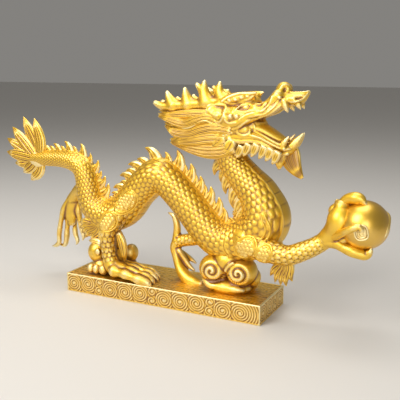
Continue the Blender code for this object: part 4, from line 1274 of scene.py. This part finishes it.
@dataclass
class Legs:
    """The four legs with their feet, and the hand that holds the pearl."""

    pearl: tuple[float, float, float] = (178.0, -8.0, 91.3)
    hind_near: Knots = (
        (-45.0, -8, 84.0, 9.0), (-56.0, -14, 71.0, 11.0), (-59.0, -18, 60.0, 8.2), (-58.4, -18, 48.0, 7.2),
        (-57.0, -18, 37.0, 7.4), (-52.5, -19, 28.0, 8.0), (-42.0, -20, 25.2, 6.8),
    )
    near_toes: tuple[Knots, ...] = (
        ((-48.0, -24, 25.4, 5.6), (-36.0, -26, 24.6, 4.4), (-24.0, -27, 22.8, 4.1), (-15.0, -27, 21.4, 4.3),
         (-9.6, -27, 19.8, 3.0), (-6.8, -27, 17.9, 0.9)),
        ((-46.0, -20, 27.0, 4.6), (-34.4, -20.2, 27.4, 3.5), (-22.8, -20.4, 25.2, 3.3), (-14.2, -20.5, 23.4, 3.5),
         (-9.0, -20.5, 20.4, 2.4), (-7.0, -20.5, 17.9, 0.8)),
        ((-46.0, -14, 28.0, 4.4), (-34.4, -13.6, 28.2, 3.3), (-23.0, -13.2, 26.0, 3.1), (-14.6, -13, 24.0, 3.3),
         (-9.4, -13, 20.6, 2.2), (-7.4, -13, 17.9, 0.8)),
        ((-46.0, -9, 28.0, 4.2), (-35.0, -7.8, 28.2, 3.1), (-24.2, -6.8, 26.2, 2.9), (-16.4, -6.2, 24.0, 3.1),
         (-11.4, -6, 20.6, 2.0), (-9.6, -6, 17.9, 0.7)),
    )
    hind_far: Knots = (
        (-94.0, 5, 93.0, 11.5), (-107.0, 9, 91.5, 8.8), (-117.0, 12, 85.0, 6.8), (-124.0, 14, 77.5, 5.8),
        (-127.0, 14, 70.0, 5.6),
    )
    far_palm: Knots = (
        (-117.0, 12, 86.0, 6.4), (-122.0, 12.4, 79.0, 7.4), (-125.4, 13, 71.0, 8.2), (-126.0, 13.6, 63.0, 7.8),
        (-126.0, 14, 57.0, 5.6),
    )
    far_toes: tuple[Knots, ...] = (
        ((-119.0, 12, 86, 4.4), (-129.6, 11.6, 74, 3.8), (-136.2, 11, 59, 3.0), (-139.6, 10.5, 43, 2.5), (-140.2, 10.4, 33.5, 2.7),
         (-144.6, 10, 29.4, 2.1), (-149.2, 9.5, 28.5, 0.6)),
        ((-125.0, 14, 74, 4.4), (-131.8, 14.5, 50.5, 2.9), (-133.4, 14.5, 38, 2.9), (-135.6, 14.2, 30.4, 2.6),
         (-140, 13.5, 29.6, 1.1)),
        ((-122.0, 15, 74, 4.2), (-124.8, 18, 52, 2.7), (-124.6, 18, 43, 2.7), (-121.6, 17.5, 35.5, 2.2),
         (-123.4, 17, 31.4, 0.9)),
        ((-117.0, 13, 84, 4.0), (-116.4, 14, 70, 3.6), (-114.6, 14, 57, 2.7), (-112.8, 13.5, 49, 2.5), (-110.4, 13, 43, 2.2),
         (-111.6, 12.5, 38.4, 0.9)),
    )
    fore_far: Knots = (
        (34.0, 6, 58.0, 9.0), (25.0, 8, 58.2, 6.8), (15.0, 8.5, 55.6, 6.0), (4.6, 8.5, 52.8, 5.8),
        (-0.4, 7, 47.4, 4.9), (1.3, 5.5, 39.8, 3.9), (4.6, 4.5, 31.4, 4.3), (9.5, 3, 24.6, 5.4),
        (17.0, 1, 19.5, 6.2), (24.5, 0, 17.8, 5.6), (29.5, 0, 17.6, 3.6),
    )
    spur: Knots = (
        (0.2, 8, 50.5, 4.6), (0.7, 9, 60.0, 3.8), (0.7, 9, 68.0, 3.4), (-2.3, 9, 76.2, 2.6),
        (-8.2, 9, 78.6, 1.0),
    )
    paw_toes: tuple[Knots, ...] = (
        ((4.6, 6, 44.0, 3.0), (9.0, 8, 36.4, 2.8), (13.4, 8.6, 30.4, 2.4), (18.6, 9, 26.0, 1.4)),
        ((5.0, 9, 42.0, 2.8), (12.0, 13, 36.0, 2.4), (17.6, 14.6, 31.6, 1.2)),
    )
    fore_near: Knots = (
        (78.0, -8, 68.0, 13.6), (89.0, -12, 65.0, 12.6), (101.0, -15, 62.2, 10.4), (117.5, -17, 60.6, 8.5),
        (131.0, -16, 65.8, 8.0), (142.0, -14, 71.8, 7.4), (150.0, -12.5, 78.0, 7.2),
    )
    palm: tuple[Knots, ...] = (
        ((148.0, -12.8, 76.4, 7.4), (155.0, -13, 83.6, 9.2), (159.6, -13.4, 91.0, 11.0), (160.4, -12.8, 98.0, 10.4),
         (160.6, -11.4, 104.4, 6.8)),
    )
    knobs: tuple[tuple[float, ...], ...] = (
        (156.0, -10, 107.0, 2.4, 2.4, 4.0), (162.4, -12.0, 79.6, 7.0, 7.4, 5.6),
        (-78.0, -19.5, 22.6, 3.8, 4.4, 4.8),
        (-71.4, -20.0, 22.8, 3.8, 4.4, 5.0), (-63.6, -20.0, 23.4, 4.8, 4.8, 5.4), 
    )
    fingers: tuple[Knots, ...] = (
        # Top finger with its large knuckle
        ((155.0, -11, 101.0, 5.6), (160.4, -10, 106.5, 4.8), (163.6, -11, 110.6, 4.4), (167.0, -12, 112.4, 4.6),
         (171.6, -13.2, 113.2, 5.0), (175.6, -14.0, 112.6, 4.2), (178.4, -15, 110.8, 2.4), (180.4, -15.6, 109.2, 0.8)),
        # Front finger, which turns down to its broad nail
        ((152.0, -14, 80.0, 4.4), (157.4, -18.4, 82.4, 4.0), (162.9, -23.4, 85.9, 3.3), (168.5, -28.5, 89.6, 2.9),
         (174.1, -30, 93.0, 2.9), (178.5, -29.9, 94.6, 2.6), (180.6, -29.4, 92.4, 2.2)),
        # Back finger, seen along the ball's outer edge
        ((156.0, -5, 96.0, 7.0), (160.0, 4, 100.0, 6.0), (168.0, 9.5, 102.0, 4.2), (177.0, 11, 101.0, 3.2),
         (186.0, 8.2, 99.6, 2.7), (192.2, 2.2, 98.8, 2.6), (195.0, -5, 97.2, 2.5), (195.9, -11.4, 92.4, 2.3),
         (195.5, -14.0, 87.4, 1.5), (194.2, -15.0, 84.0, 0.5)),
        # Lower finger under the ball
        ((148.0, -14, 77.0, 6.4), (158.0, -15.5, 76.0, 5.0), (164.7, -16.5, 73.2, 4.3), (171.0, -17.6, 71.6, 4.8),
         (177.0, -16.8, 69.8, 4.3), (182.0, -15.5, 69.4, 4.2), (185.6, -17, 73.2, 2.2), (186.0, -17, 76.0, 0.8)),
    )
    nail_centre: tuple[float, float, float] = (180.0, -28.6, 89.7)
    nail_along: tuple[float, float, float] = (0.2, 0.1, -0.97)
    nail_pad: tuple[float, ...] = (179.9, -26.6, 89.4, 4.8, 2.0, 5.6)
    nail_size: tuple[float, float] = (5.8, 5.0)
    nail_loops: tuple[tuple[float, float], ...] = ((1.0, 0.75), (0.7, 0.6), (0.36, 0.5))

    def knuckled(self, knots: Knots, joints: int, swell: float = 0.12) -> Knots:
        """A toe's path with thick joints and thin bones between them."""
        path = smooth_path(knots, 1.0)
        share = np.linspace(0, 1, len(path))
        path[:, 3] *= 1 + swell * np.cos(2 * math.pi * joints * share) * (1 - share ** 4)
        return [tuple(row) for row in path[::2]] + [tuple(path[-1])]

    def nail(self, skin: Skin) -> None:
        """Add the rounded loops of the front finger's nail."""
        outward = np.array(self.nail_centre) - np.array(self.pearl)
        outward /= np.linalg.norm(outward)
        along = np.array(self.nail_along)
        along -= outward * (along @ outward)
        along /= np.linalg.norm(along)
        across = np.cross(outward, along)
        half_long, half_wide = self.nail_size
        turn = np.linspace(0, 2 * math.pi, 25)
        for share, radius in self.nail_loops:
            u = np.sign(np.cos(turn)) * np.abs(np.cos(turn)) ** 0.7 * half_long * share
            v = np.sign(np.sin(turn)) * np.abs(np.sin(turn)) ** 0.7 * half_wide * share
            sink = 0.9 * (np.abs(v) / half_wide) ** 2 + 0.5 * (np.abs(u) / half_long) ** 2
            rows = (np.array(self.nail_centre) + u[:, None] * along + v[:, None] * across
                    - sink[:, None] * outward)
            tube(skin, [(*row, radius) for row in rows], around=8, spacing=1.0)

    def legs(self, workshop: Workshop) -> bpy.types.Mesh:
        """The four legs without the fingers on the pearl."""
        skin = Skin()
        for knots in (self.hind_near, self.hind_far, self.fore_far, self.spur, self.fore_near, *self.palm):
            tube(skin, knots, around=32)
        for knots in (*self.near_toes, *self.far_toes):
            tube(skin, self.knuckled(knots, 3), around=20)
        for knots in self.paw_toes:
            tube(skin, knots)
        tube(skin, self.far_palm, around=32, flat=0.6)
        for x, y, z, *radii in self.knobs:
            lump(skin, (x, y, z), tuple(radii))
        mesh = workshop.fused(skin, "legs", 0.72, 9)
        scale_limb(mesh, self.fore_near, 12, 0.24, 0.0, 0.93)
        scale_limb(mesh, self.hind_near, 9, 0.26, 0.0, 0.78)
        scale_limb(mesh, self.fore_far, 9, 0.2, 0.0, 0.42)
        return mesh

    def claws(self, workshop: Workshop) -> bpy.types.Mesh:
        """The four fingers that close round the pearl, and the loops of the broad nail."""
        skin = Skin()
        for knots in self.fingers:
            tube(skin, knots, around=24)
        fingers = Skin()
        fingers.take(workshop.fused(skin, "fingers", 0.6, 2))
        lump(fingers, self.nail_pad[:3], self.nail_pad[3:], 32)
        self.nail(fingers)
        return fingers.mesh("claws")


@dataclass(frozen=True)
class ShellPad:
    """An oval pad of scales with raised borders, laid on the flank of the dragon."""

    x: float
    z: float
    half_long: float
    half_wide: float
    tilt: float
    scale: float = 3.4
    bulge: float = 1.2
    borders: tuple[tuple[float, float], ...] = ((1.0, 1.2), (0.82, 0.95))

    def outline(self, share: float, count: int = 40) -> np.ndarray:
        """Places (x, z) round the oval at a share of its size."""
        turn = np.linspace(0, 2 * math.pi, count, endpoint=False)
        tilt = math.radians(self.tilt)
        u, v = np.cos(turn) * self.half_long * share, np.sin(turn) * self.half_wide * share
        return np.stack([self.x + u * math.cos(tilt) - v * math.sin(tilt),
                         self.z + u * math.sin(tilt) + v * math.cos(tilt)], axis=1)

    def inside(self, x: float, z: float, share: float) -> bool:
        """Whether a place lies inside the oval at a share of its size."""
        tilt = math.radians(self.tilt)
        u = (x - self.x) * math.cos(tilt) + (z - self.z) * math.sin(tilt)
        v = (z - self.z) * math.cos(tilt) - (x - self.x) * math.sin(tilt)
        return (u / self.half_long) ** 2 + (v / self.half_wide) ** 2 < share ** 2


@dataclass
class Shells:
    """Scaled pads with double borders on the thigh and the shoulder, and the folds beside them."""

    pads: tuple[ShellPad, ...] = (
        ShellPad(-39.4, 90.4, 13.6, 8.6, 46.0), ShellPad(-55.0, 71.8, 9.4, 8.2, 60.0),
        ShellPad(-65.0, 56.8, 7.6, 3.8, 62.0, 2.6), ShellPad(82.6, 63.6, 12.6, 8.8, 38.0, 3.6),
        ShellPad(100.6, 61.4, 8.6, 6.6, 58.0, 3.2),
    )
    folds: tuple[Knots, ...] = (
        ((97.4, 95.0, 0.7), (99.3, 90.4, 1.3), (102.8, 82.4, 1.5), (100.6, 73.4, 1.5), (95.0, 66.0, 1.4),
         (90.3, 60.9, 1.2)),
        ((94.6, 94.0, 0.6), (96.2, 88.6, 1.0), (99.2, 81.6, 1.2), (97.0, 74.4, 1.2), (91.4, 68.0, 1.0)),
        ((64.7, 82.2, 0.7), (64.5, 73.4, 1.2), (62.1, 66.0, 1.4), (63.0, 58.5, 1.3), (67.6, 53.0, 0.9)),
        ((61.6, 70.0, 0.6), (59.4, 64.0, 1.0), (60.2, 57.6, 1.0), (64.0, 51.6, 0.7)),
    )

    pad_relief: float = 0.56
    scale_relief: float = 0.65

    def pad(self, skin: Skin, carver: "Carver", pad: ShellPad, side: Side) -> None:
        """Add one bulging pad and its borders to a skin."""
        rings = []
        for share, sunk in ((0.3, True), (0.95, True), (1.0, False), (0.85, False), (0.6, False), (0.3, False)):
            ring = []
            for x, z in pad.outline(share):
                level = carver.surface(x, z, side)
                if level is None:
                    return
                rise = -2.0 if sunk else 0.2 + pad.bulge * (1 - share ** 2)
                ring.append((x, level + side.value * rise, z))
            rings.append(ring)
        skin.loft(np.array(rings))
        for share, radius in pad.borders:
            loop = pad.outline(share, 28)
            carver.refresh_with(skin)
            knots = [(x, z, radius) for x, z in (*loop, loop[0], loop[1])]
            carver.ridge(skin, knots, side)

    def scales(self, carver: "Carver", side: Side) -> tuple[list, list]:
        """Places and sizes of the small scales inside the pads of a side."""
        places, sizes = [], []
        for pad in self.pads:
            step = pad.scale * 1.02
            reach = int(pad.half_long / step) + 1
            for row in range(-2 * reach, 2 * reach + 1):
                for column in range(-2 * reach, 2 * reach + 1):
                    x = pad.x + (column + 0.5 * (row % 2)) * step
                    z = pad.z + row * step * 0.8
                    if not pad.inside(x, z, 0.7):
                        continue
                    level = carver.surface(x, z, side)
                    if level is not None:
                        places.append((x, level - side.value * 0.3, z))
                        sizes.append(pad.scale)
        return places, sizes

    def dome(self) -> bpy.types.Mesh:
        """One low round scale of unit size that rises in Z."""
        skin = Skin()
        lump(skin, (0, 0, 0), (0.66 / MM, 0.66 / MM, 0.26 / MM), 12)
        return skin.mesh("dome pattern")

    def meshes(self, ground: Skin, material: bpy.types.Material) -> tuple[bpy.types.Mesh, bpy.types.Mesh]:
        """The pads with their folds, and the small scales on them.

        Args:
            ground: The shells of the body and the legs that the pads lie on.
            material: The finish of the scales.

        Returns:
            Both meshes.
        """
        skin = Skin()
        places, sizes, outward = [], [], []
        for side in Side:
            carver = Carver(ground.mesh("ground"))
            for knots in self.folds:
                carver.ridge(skin, knots, side)
            for pad in self.pads:
                self.pad(skin, carver, pad, side)
            carver.refresh_with(skin)
            spots, spans = self.scales(carver, side)
            places += spots
            sizes += spans
            outward += [(0.0, float(side.value), 0.0)] * len(spots)
        along = np.tile((1.0, 0.0, 0.0), (len(places), 1))
        feet = Feet(np.array(places), np.array(outward), along, np.array(sizes))
        pads, scales = skin.mesh("shells"), stand_pattern(feet, self.dome(), material, 1.0)
        # An even relief level gives the pads and their scales one even mix of the gold and its painted highlight
        # colour, and no hollow keeps painted shade off them.
        for mesh, level in ((pads, self.pad_relief), (scales, self.scale_relief)):
            store_relief(mesh, np.full(len(mesh.vertices), level))
            store_relief(mesh, np.zeros(len(mesh.vertices)), "hollow")
        return pads, scales


# Clouds


@dataclass
class Clouds:
    """Scrolled cloud lumps that carry the chest and the hip."""

    lumps: tuple[tuple[float, ...], ...] = (
        (47.5, -5, 36.8, 15.0, 14.6, 13.0), (73.0, -5, 37.4, 14.0, 14.6, 13.0), (60.0, -3, 45.0, 14.5, 13.5, 12.0),
        (60.0, -3, 22.0, 21.5, 14.5, 7.6), (82.4, 1, 31.0, 5.6, 8.0, 8.0), (77.0, 5, 28.0, 8.0, 8.0, 12.0),
        (-76.0, -11, 37.0, 10.0, 8.6, 10.5), (-71.5, -11, 24.5, 8.6, 8.5, 7.5), (-47.4, 4, 36.0, 6.8, 8.0, 8.8),
        (-52.0, 2, 23.5, 11.0, 11.0, 8.5), (-62.0, -3, 50.0, 10.0, 9.0, 11.0), (-62.0, -3, 30.0, 12.0, 11.0, 14.0),
    )
    spirals: tuple[tuple[float, ...], ...] = (
        (49.0, 37.0, 10.6, 1, 20.0), (74.0, 38.0, 10.0, -1, 160.0),
    )
    groove: float = 1.8
    groove_width: float = 1.5
    boss: tuple[float, ...] = (-71.0, -18.4, 39.4, 3.1, 1.6, 3.1)
    waves: tuple[Knots, ...] = (
        ((40.0, -12.6, 26.4, 2.4), (46.0, -13.4, 22.8, 3.4), (53.0, -13.6, 22.6, 3.2), (58.6, -13.6, 21.4, 2.0)),
        ((58.0, -13.6, 25.0, 2.2), (64.6, -14.0, 22.6, 3.2), (71.6, -13.6, 22.6, 3.2), (77.0, -12.0, 22.0, 2.0)),
        ((61.6, -15.6, 38.6, 1.2), (64.4, -15.8, 43.0, 1.5), (69.0, -15.6, 47.2, 1.3)),
    )
    turns: float = 1.5

    def mesh(self, workshop: Workshop) -> bpy.types.Mesh:
        """The fused clouds."""
        skin = Skin()
        for x, y, z, *radii in (*self.lumps, self.boss):
            lump(skin, (x, y, z), tuple(radii), 32)
        for knots in self.waves:
            tube(skin, knots, around=10, spacing=1.0)
        mesh = workshop.fused(skin, "clouds", 0.75, 9)
        self.carve(mesh)
        return mesh

    def carve(self, mesh: bpy.types.Mesh) -> None:
        """Carve the volutes into both flanks."""
        points, normals = read_points(mesh), read_normals(mesh)
        gap = np.full(len(points), np.inf)
        share = np.linspace(0, 1, 48)
        for x, z, outer, way, start in self.spirals:
            angle = math.radians(start) + way * 2 * math.pi * self.turns * share
            reach = outer * (1 - 0.88 * share)
            for place_x, place_z in zip(x + reach * np.cos(angle), z - reach * np.sin(angle)):
                gap = np.minimum(gap, np.hypot(points[:, 0] - place_x, points[:, 2] - place_z))
        depth = self.groove * ridge(gap, self.groove_width) * smoothstep(0.15, 0.5, np.abs(normals[:, 1]))
        write_points(mesh, points - normals * depth[:, None])


# Plinth and pearl


@dataclass
class Plinth:
    """The block with carved whorls on its sides and a rough top."""

    length: float = 200.0
    depth: float = 59.0
    height: float = 17.6
    cell: float = 0.8
    large: float = 8.6
    small: float = 4.5
    ring_pitch: float = 2.3
    carve: float = 0.6

    def whorls(self, reach: float) -> list[tuple[float, float, float]]:
        """Places along a side, levels and radii of large whorls with pairs of small ones between."""
        rows = []
        place = -reach + self.large * 0.9
        number = 0
        while place < reach - self.small * 0.5:
            if number % 4 == 2:
                rows.append((place, self.height * 0.27, self.small))
                rows.append((place + 0.6, self.height * 0.76, self.small * 0.9))
                place += self.small + self.large * 0.95
            else:
                level = self.height * (0.46, 0.56, 0.5, 0.42)[number % 4]
                rows.append((place, level, self.large))
                place += self.large * 0.95 + (self.small if number % 4 == 1 else self.large * 0.95)
            number += 1
        return rows

    def scrolls(self, across: np.ndarray, up: np.ndarray, reach: float) -> np.ndarray:
        """Height of the whorls on a side.

        Args:
            across: Places along the side, from its middle.
            up: Places above the table.
            reach: Half the side's length.

        Returns:
            Heights from -1 to 1.
        """
        result = np.zeros_like(across)
        best = np.full_like(across, np.inf)
        second = np.full_like(across, np.inf)
        for number, (centre, level, radius) in enumerate(self.whorls(reach)):
            way = 1 if number % 2 else -1
            du, dv = across - centre, (up - level) * 1.08
            far = np.hypot(du, dv)
            turn = np.arctan2(dv, du) * way / (2 * math.pi)
            wave = np.cos(2 * math.pi * (far / self.ring_pitch - turn))
            wave = np.where(far < 1.4, 1.0, wave)
            score = far - radius
            closer = score < best
            second = np.where(closer, best, np.minimum(second, score))
            result = np.where(closer, wave, result)
            best = np.minimum(best, score)
        border = ridge(second - best, 0.9)
        return np.clip(result - 1.6 * border, -1, 1)

    def rough_top(self, x: np.ndarray, y: np.ndarray) -> np.ndarray:
        """Height of the fine streaks and pits on the top, from about -1 to 1."""
        flat = zip(x.ravel(), y.ravel())
        streaks = [noise.noise(Vector((a * 0.16, b * 0.55, 0.3))) + 0.7 * noise.noise(Vector((a * 0.5, b * 0.7, 4.1)))
                   for a, b in flat]
        return np.array(streaks).reshape(x.shape)

    def mesh(self) -> bpy.types.Mesh:
        """The displaced block, closed at its edges."""
        half_x, half_y, high = self.length / 2, self.depth / 2, self.height
        across_x = np.linspace(-half_x, half_x, round(self.length / self.cell) + 1)
        across_y = np.linspace(-half_y, half_y, round(self.depth / self.cell) + 1)
        level = np.linspace(0, high, round(high / self.cell) + 1)
        shape = bmesh.new()
        sides = []
        for sign in (-1, 1):
            wide, tall = np.meshgrid(across_x, level, indexing="ij")
            sides.append((np.stack([wide, sign * half_y + 0 * wide, tall], -1), (0, sign, 0), wide, half_x))
            wide, tall = np.meshgrid(across_y, level, indexing="ij")
            sides.append((np.stack([sign * half_x + 0 * wide, wide, tall], -1), (sign, 0, 0), wide, half_y))
        flat_x, flat_y = np.meshgrid(across_x, across_y, indexing="ij")
        for points, outward, wide, reach in sides:
            tall = points[..., 2]
            edge = smoothstep(0.5, 1.8, np.minimum(reach - np.abs(wide), np.minimum(tall, high - tall)))
            carved = (self.scrolls(wide, tall, reach) * 0.5 - 0.5) * self.carve * edge
            add_grid(shape, points + np.array(outward) * carved[..., None])
        inset = np.minimum(half_x - np.abs(flat_x), half_y - np.abs(flat_y))
        top = high + (self.rough_top(flat_x, flat_y) * 0.3 - 0.3) * smoothstep(0.8, 2.6, inset)
        add_grid(shape, np.stack([flat_x, flat_y, top], -1))
        bmesh.ops.remove_doubles(shape, verts=shape.verts, dist=0.05 * MM)
        bmesh.ops.holes_fill(shape, edges=[edge for edge in shape.edges if edge.is_boundary], sides=0)
        bmesh.ops.recalc_face_normals(shape, faces=shape.faces)
        mesh = bpy.data.meshes.new("plinth carving")
        shape.to_mesh(mesh)
        shape.free()
        return mesh


def add_grid(shape: bmesh.types.BMesh, points: np.ndarray) -> None:
    """Add a grid of quads to a bmesh from points in millimetres."""
    rows, columns = points.shape[:2]
    verts = [[shape.verts.new(points[i, j] * MM) for j in range(columns)] for i in range(rows)]
    for i in range(rows - 1):
        for j in range(columns - 1):
            shape.faces.new((verts[i][j], verts[i + 1][j], verts[i + 1][j + 1], verts[i][j + 1]))


@dataclass
class Pearl:
    """The polished ball in the raised claw."""

    centre: tuple[float, float, float] = (178.0, -8.0, 91.3)
    radius: float = 19.6
    rings: int = 72

    def mesh(self) -> bpy.types.Mesh:
        """The plain ball."""
        skin = Skin()
        turn = np.linspace(0, 2 * math.pi, 2 * self.rings, endpoint=False)
        rise = np.linspace(-math.pi / 2, math.pi / 2, self.rings + 1)[1:-1, None]
        ball = np.stack([np.cos(rise) * np.cos(turn), np.cos(rise) * np.sin(turn),
                         np.sin(rise) * np.ones_like(turn)], axis=-1)
        skin.loft(np.array(self.centre) + ball * self.radius)
        return skin.mesh("pearl")


# Studio


@dataclass
class Studio:
    """Pale floor, soft lights and the camera at the photograph's angle."""

    floor: tuple[float, float, float] = (0.66, 0.645, 0.62)
    camera_place: tuple[float, float, float] = (0.28465, -0.50956, 0.21448)
    camera_target: tuple[float, float, float] = (0.0293, 0.0, 0.0960)
    lens: float = 58.5

    def build(self) -> None:
        """Set the stage."""
        self.ground()
        self.light("key", (-0.4, -0.84, 0.85), (0.0, 0.0, 0.09), 0.7, 11.5, (1.0, 0.96, 0.9))
        self.light("front", (0.45, -1.0, 0.35), (0.03, 0.0, 0.10), 0.6, 3.8, (1.0, 0.97, 0.92))
        self.light("top", (0.0, 0.1, 1.0), (0.0, 0.0, 0.1), 0.7, 5.0, (1.0, 0.98, 0.95))
        world = bpy.data.worlds.new("studio")
        world.use_nodes = True
        backdrop = world.node_tree.nodes["Background"]
        backdrop.inputs["Color"].default_value = (0.92, 0.89, 0.84, 1.0)
        backdrop.inputs["Strength"].default_value = 0.25
        bpy.context.scene.world = world
        bpy.context.scene.view_settings.view_transform = "Standard"
        self.camera()

    def ground(self) -> None:
        """A wide pale floor."""
        mesh = bpy.data.meshes.new("floor")
        wide = 6.0
        mesh.from_pydata([(-wide, -wide, 0), (wide, -wide, 0), (wide, wide, 0), (-wide, wide, 0)], [],
                         [(0, 1, 2, 3)])
        floor = bpy.data.objects.new("floor", mesh)
        bpy.context.collection.objects.link(floor)
        material = bpy.data.materials.new("pale floor")
        material.use_nodes = True
        shader = material.node_tree.nodes["Principled BSDF"]
        shader.inputs["Base Color"].default_value = (*self.floor, 1.0)
        shader.inputs["Roughness"].default_value = 0.7
        mesh.materials.append(material)

    def light(self, name: str, place: tuple[float, ...], target: tuple[float, ...], size: float,
              power: float, colour: tuple[float, float, float]) -> None:
        """A square soft light that faces a target."""
        lamp = bpy.data.lights.new(name, "AREA")
        lamp.size = size
        lamp.energy = power
        lamp.color = colour
        obj = bpy.data.objects.new(name, lamp)
        obj.location = place
        obj.rotation_euler = (Vector(target) - Vector(place)).to_track_quat("-Z", "Y").to_euler()
        bpy.context.collection.objects.link(obj)

    def camera(self) -> None:
        """The camera where the photograph was taken."""
        data = bpy.data.cameras.new("camera")
        data.lens = self.lens
        data.sensor_width = 36.0
        data.clip_start = 0.01
        obj = bpy.data.objects.new("camera", data)
        obj.location = self.camera_place
        look = Vector(self.camera_target) - Vector(self.camera_place)
        obj.rotation_euler = look.to_track_quat("-Z", "Y").to_euler()
        bpy.context.collection.objects.link(obj)
        bpy.context.scene.camera = obj


def main() -> None:
    """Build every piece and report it."""
    logging.basicConfig(level=logging.INFO, format="%(message)s")
    workshop = Workshop()
    Studio().build()
    crest_gold = workshop.finishes[Slot.CASTING]
    legs = Legs()
    body, limbs = ScaledBody(SPINE).mesh(), legs.legs(workshop)
    flank = Skin()
    for mesh in (body, limbs):
        flank.take(mesh)
    pads, pad_scales = Shells().meshes(flank, crest_gold)
    pieces = (
        ("scaled_body", body, "dragon", Slot.CASTING),
        ("flank_shells", pads, "dragon", Slot.CASTING),
        ("shell_scales", pad_scales, "dragon", Slot.CASTING),
        ("back_crest", Crest(SPINE).mesh(crest_gold), "dragon", Slot.CASTING),
        ("tail_fin", TailFin().mesh(), "dragon", Slot.CASTING),
        ("head", Head().mesh(workshop), "dragon", Slot.CASTING),
        ("antlers", Antlers().mesh(workshop), "dragon", Slot.CASTING),
        ("mane", Mane().mesh(), "dragon", Slot.CASTING),
        ("tufts", Tufts().mesh(), "dragon", Slot.CASTING),
        ("legs", limbs, "dragon", Slot.CASTING),
        ("pearl_claws", legs.claws(workshop), "dragon", Slot.CASTING),
        ("clouds", Clouds().mesh(workshop), "dragon", Slot.CASTING),
        ("plinth_carving", Plinth().mesh(), "plinth", Slot.PLINTH),
        ("pearl_ball", Pearl().mesh(), "pearl", Slot.PEARL),
    )
    # Painted shade in closed-in places, stored on every piece as the attribute hollow.
    painted_occlusion = PaintedOcclusion([mesh for _, mesh, _, _ in pieces])
    for name, mesh, node, slot in pieces:
        painted_occlusion.store(mesh)
        workshop.finish(mesh, name, node, slot)


if __name__ == "__main__":
    main()
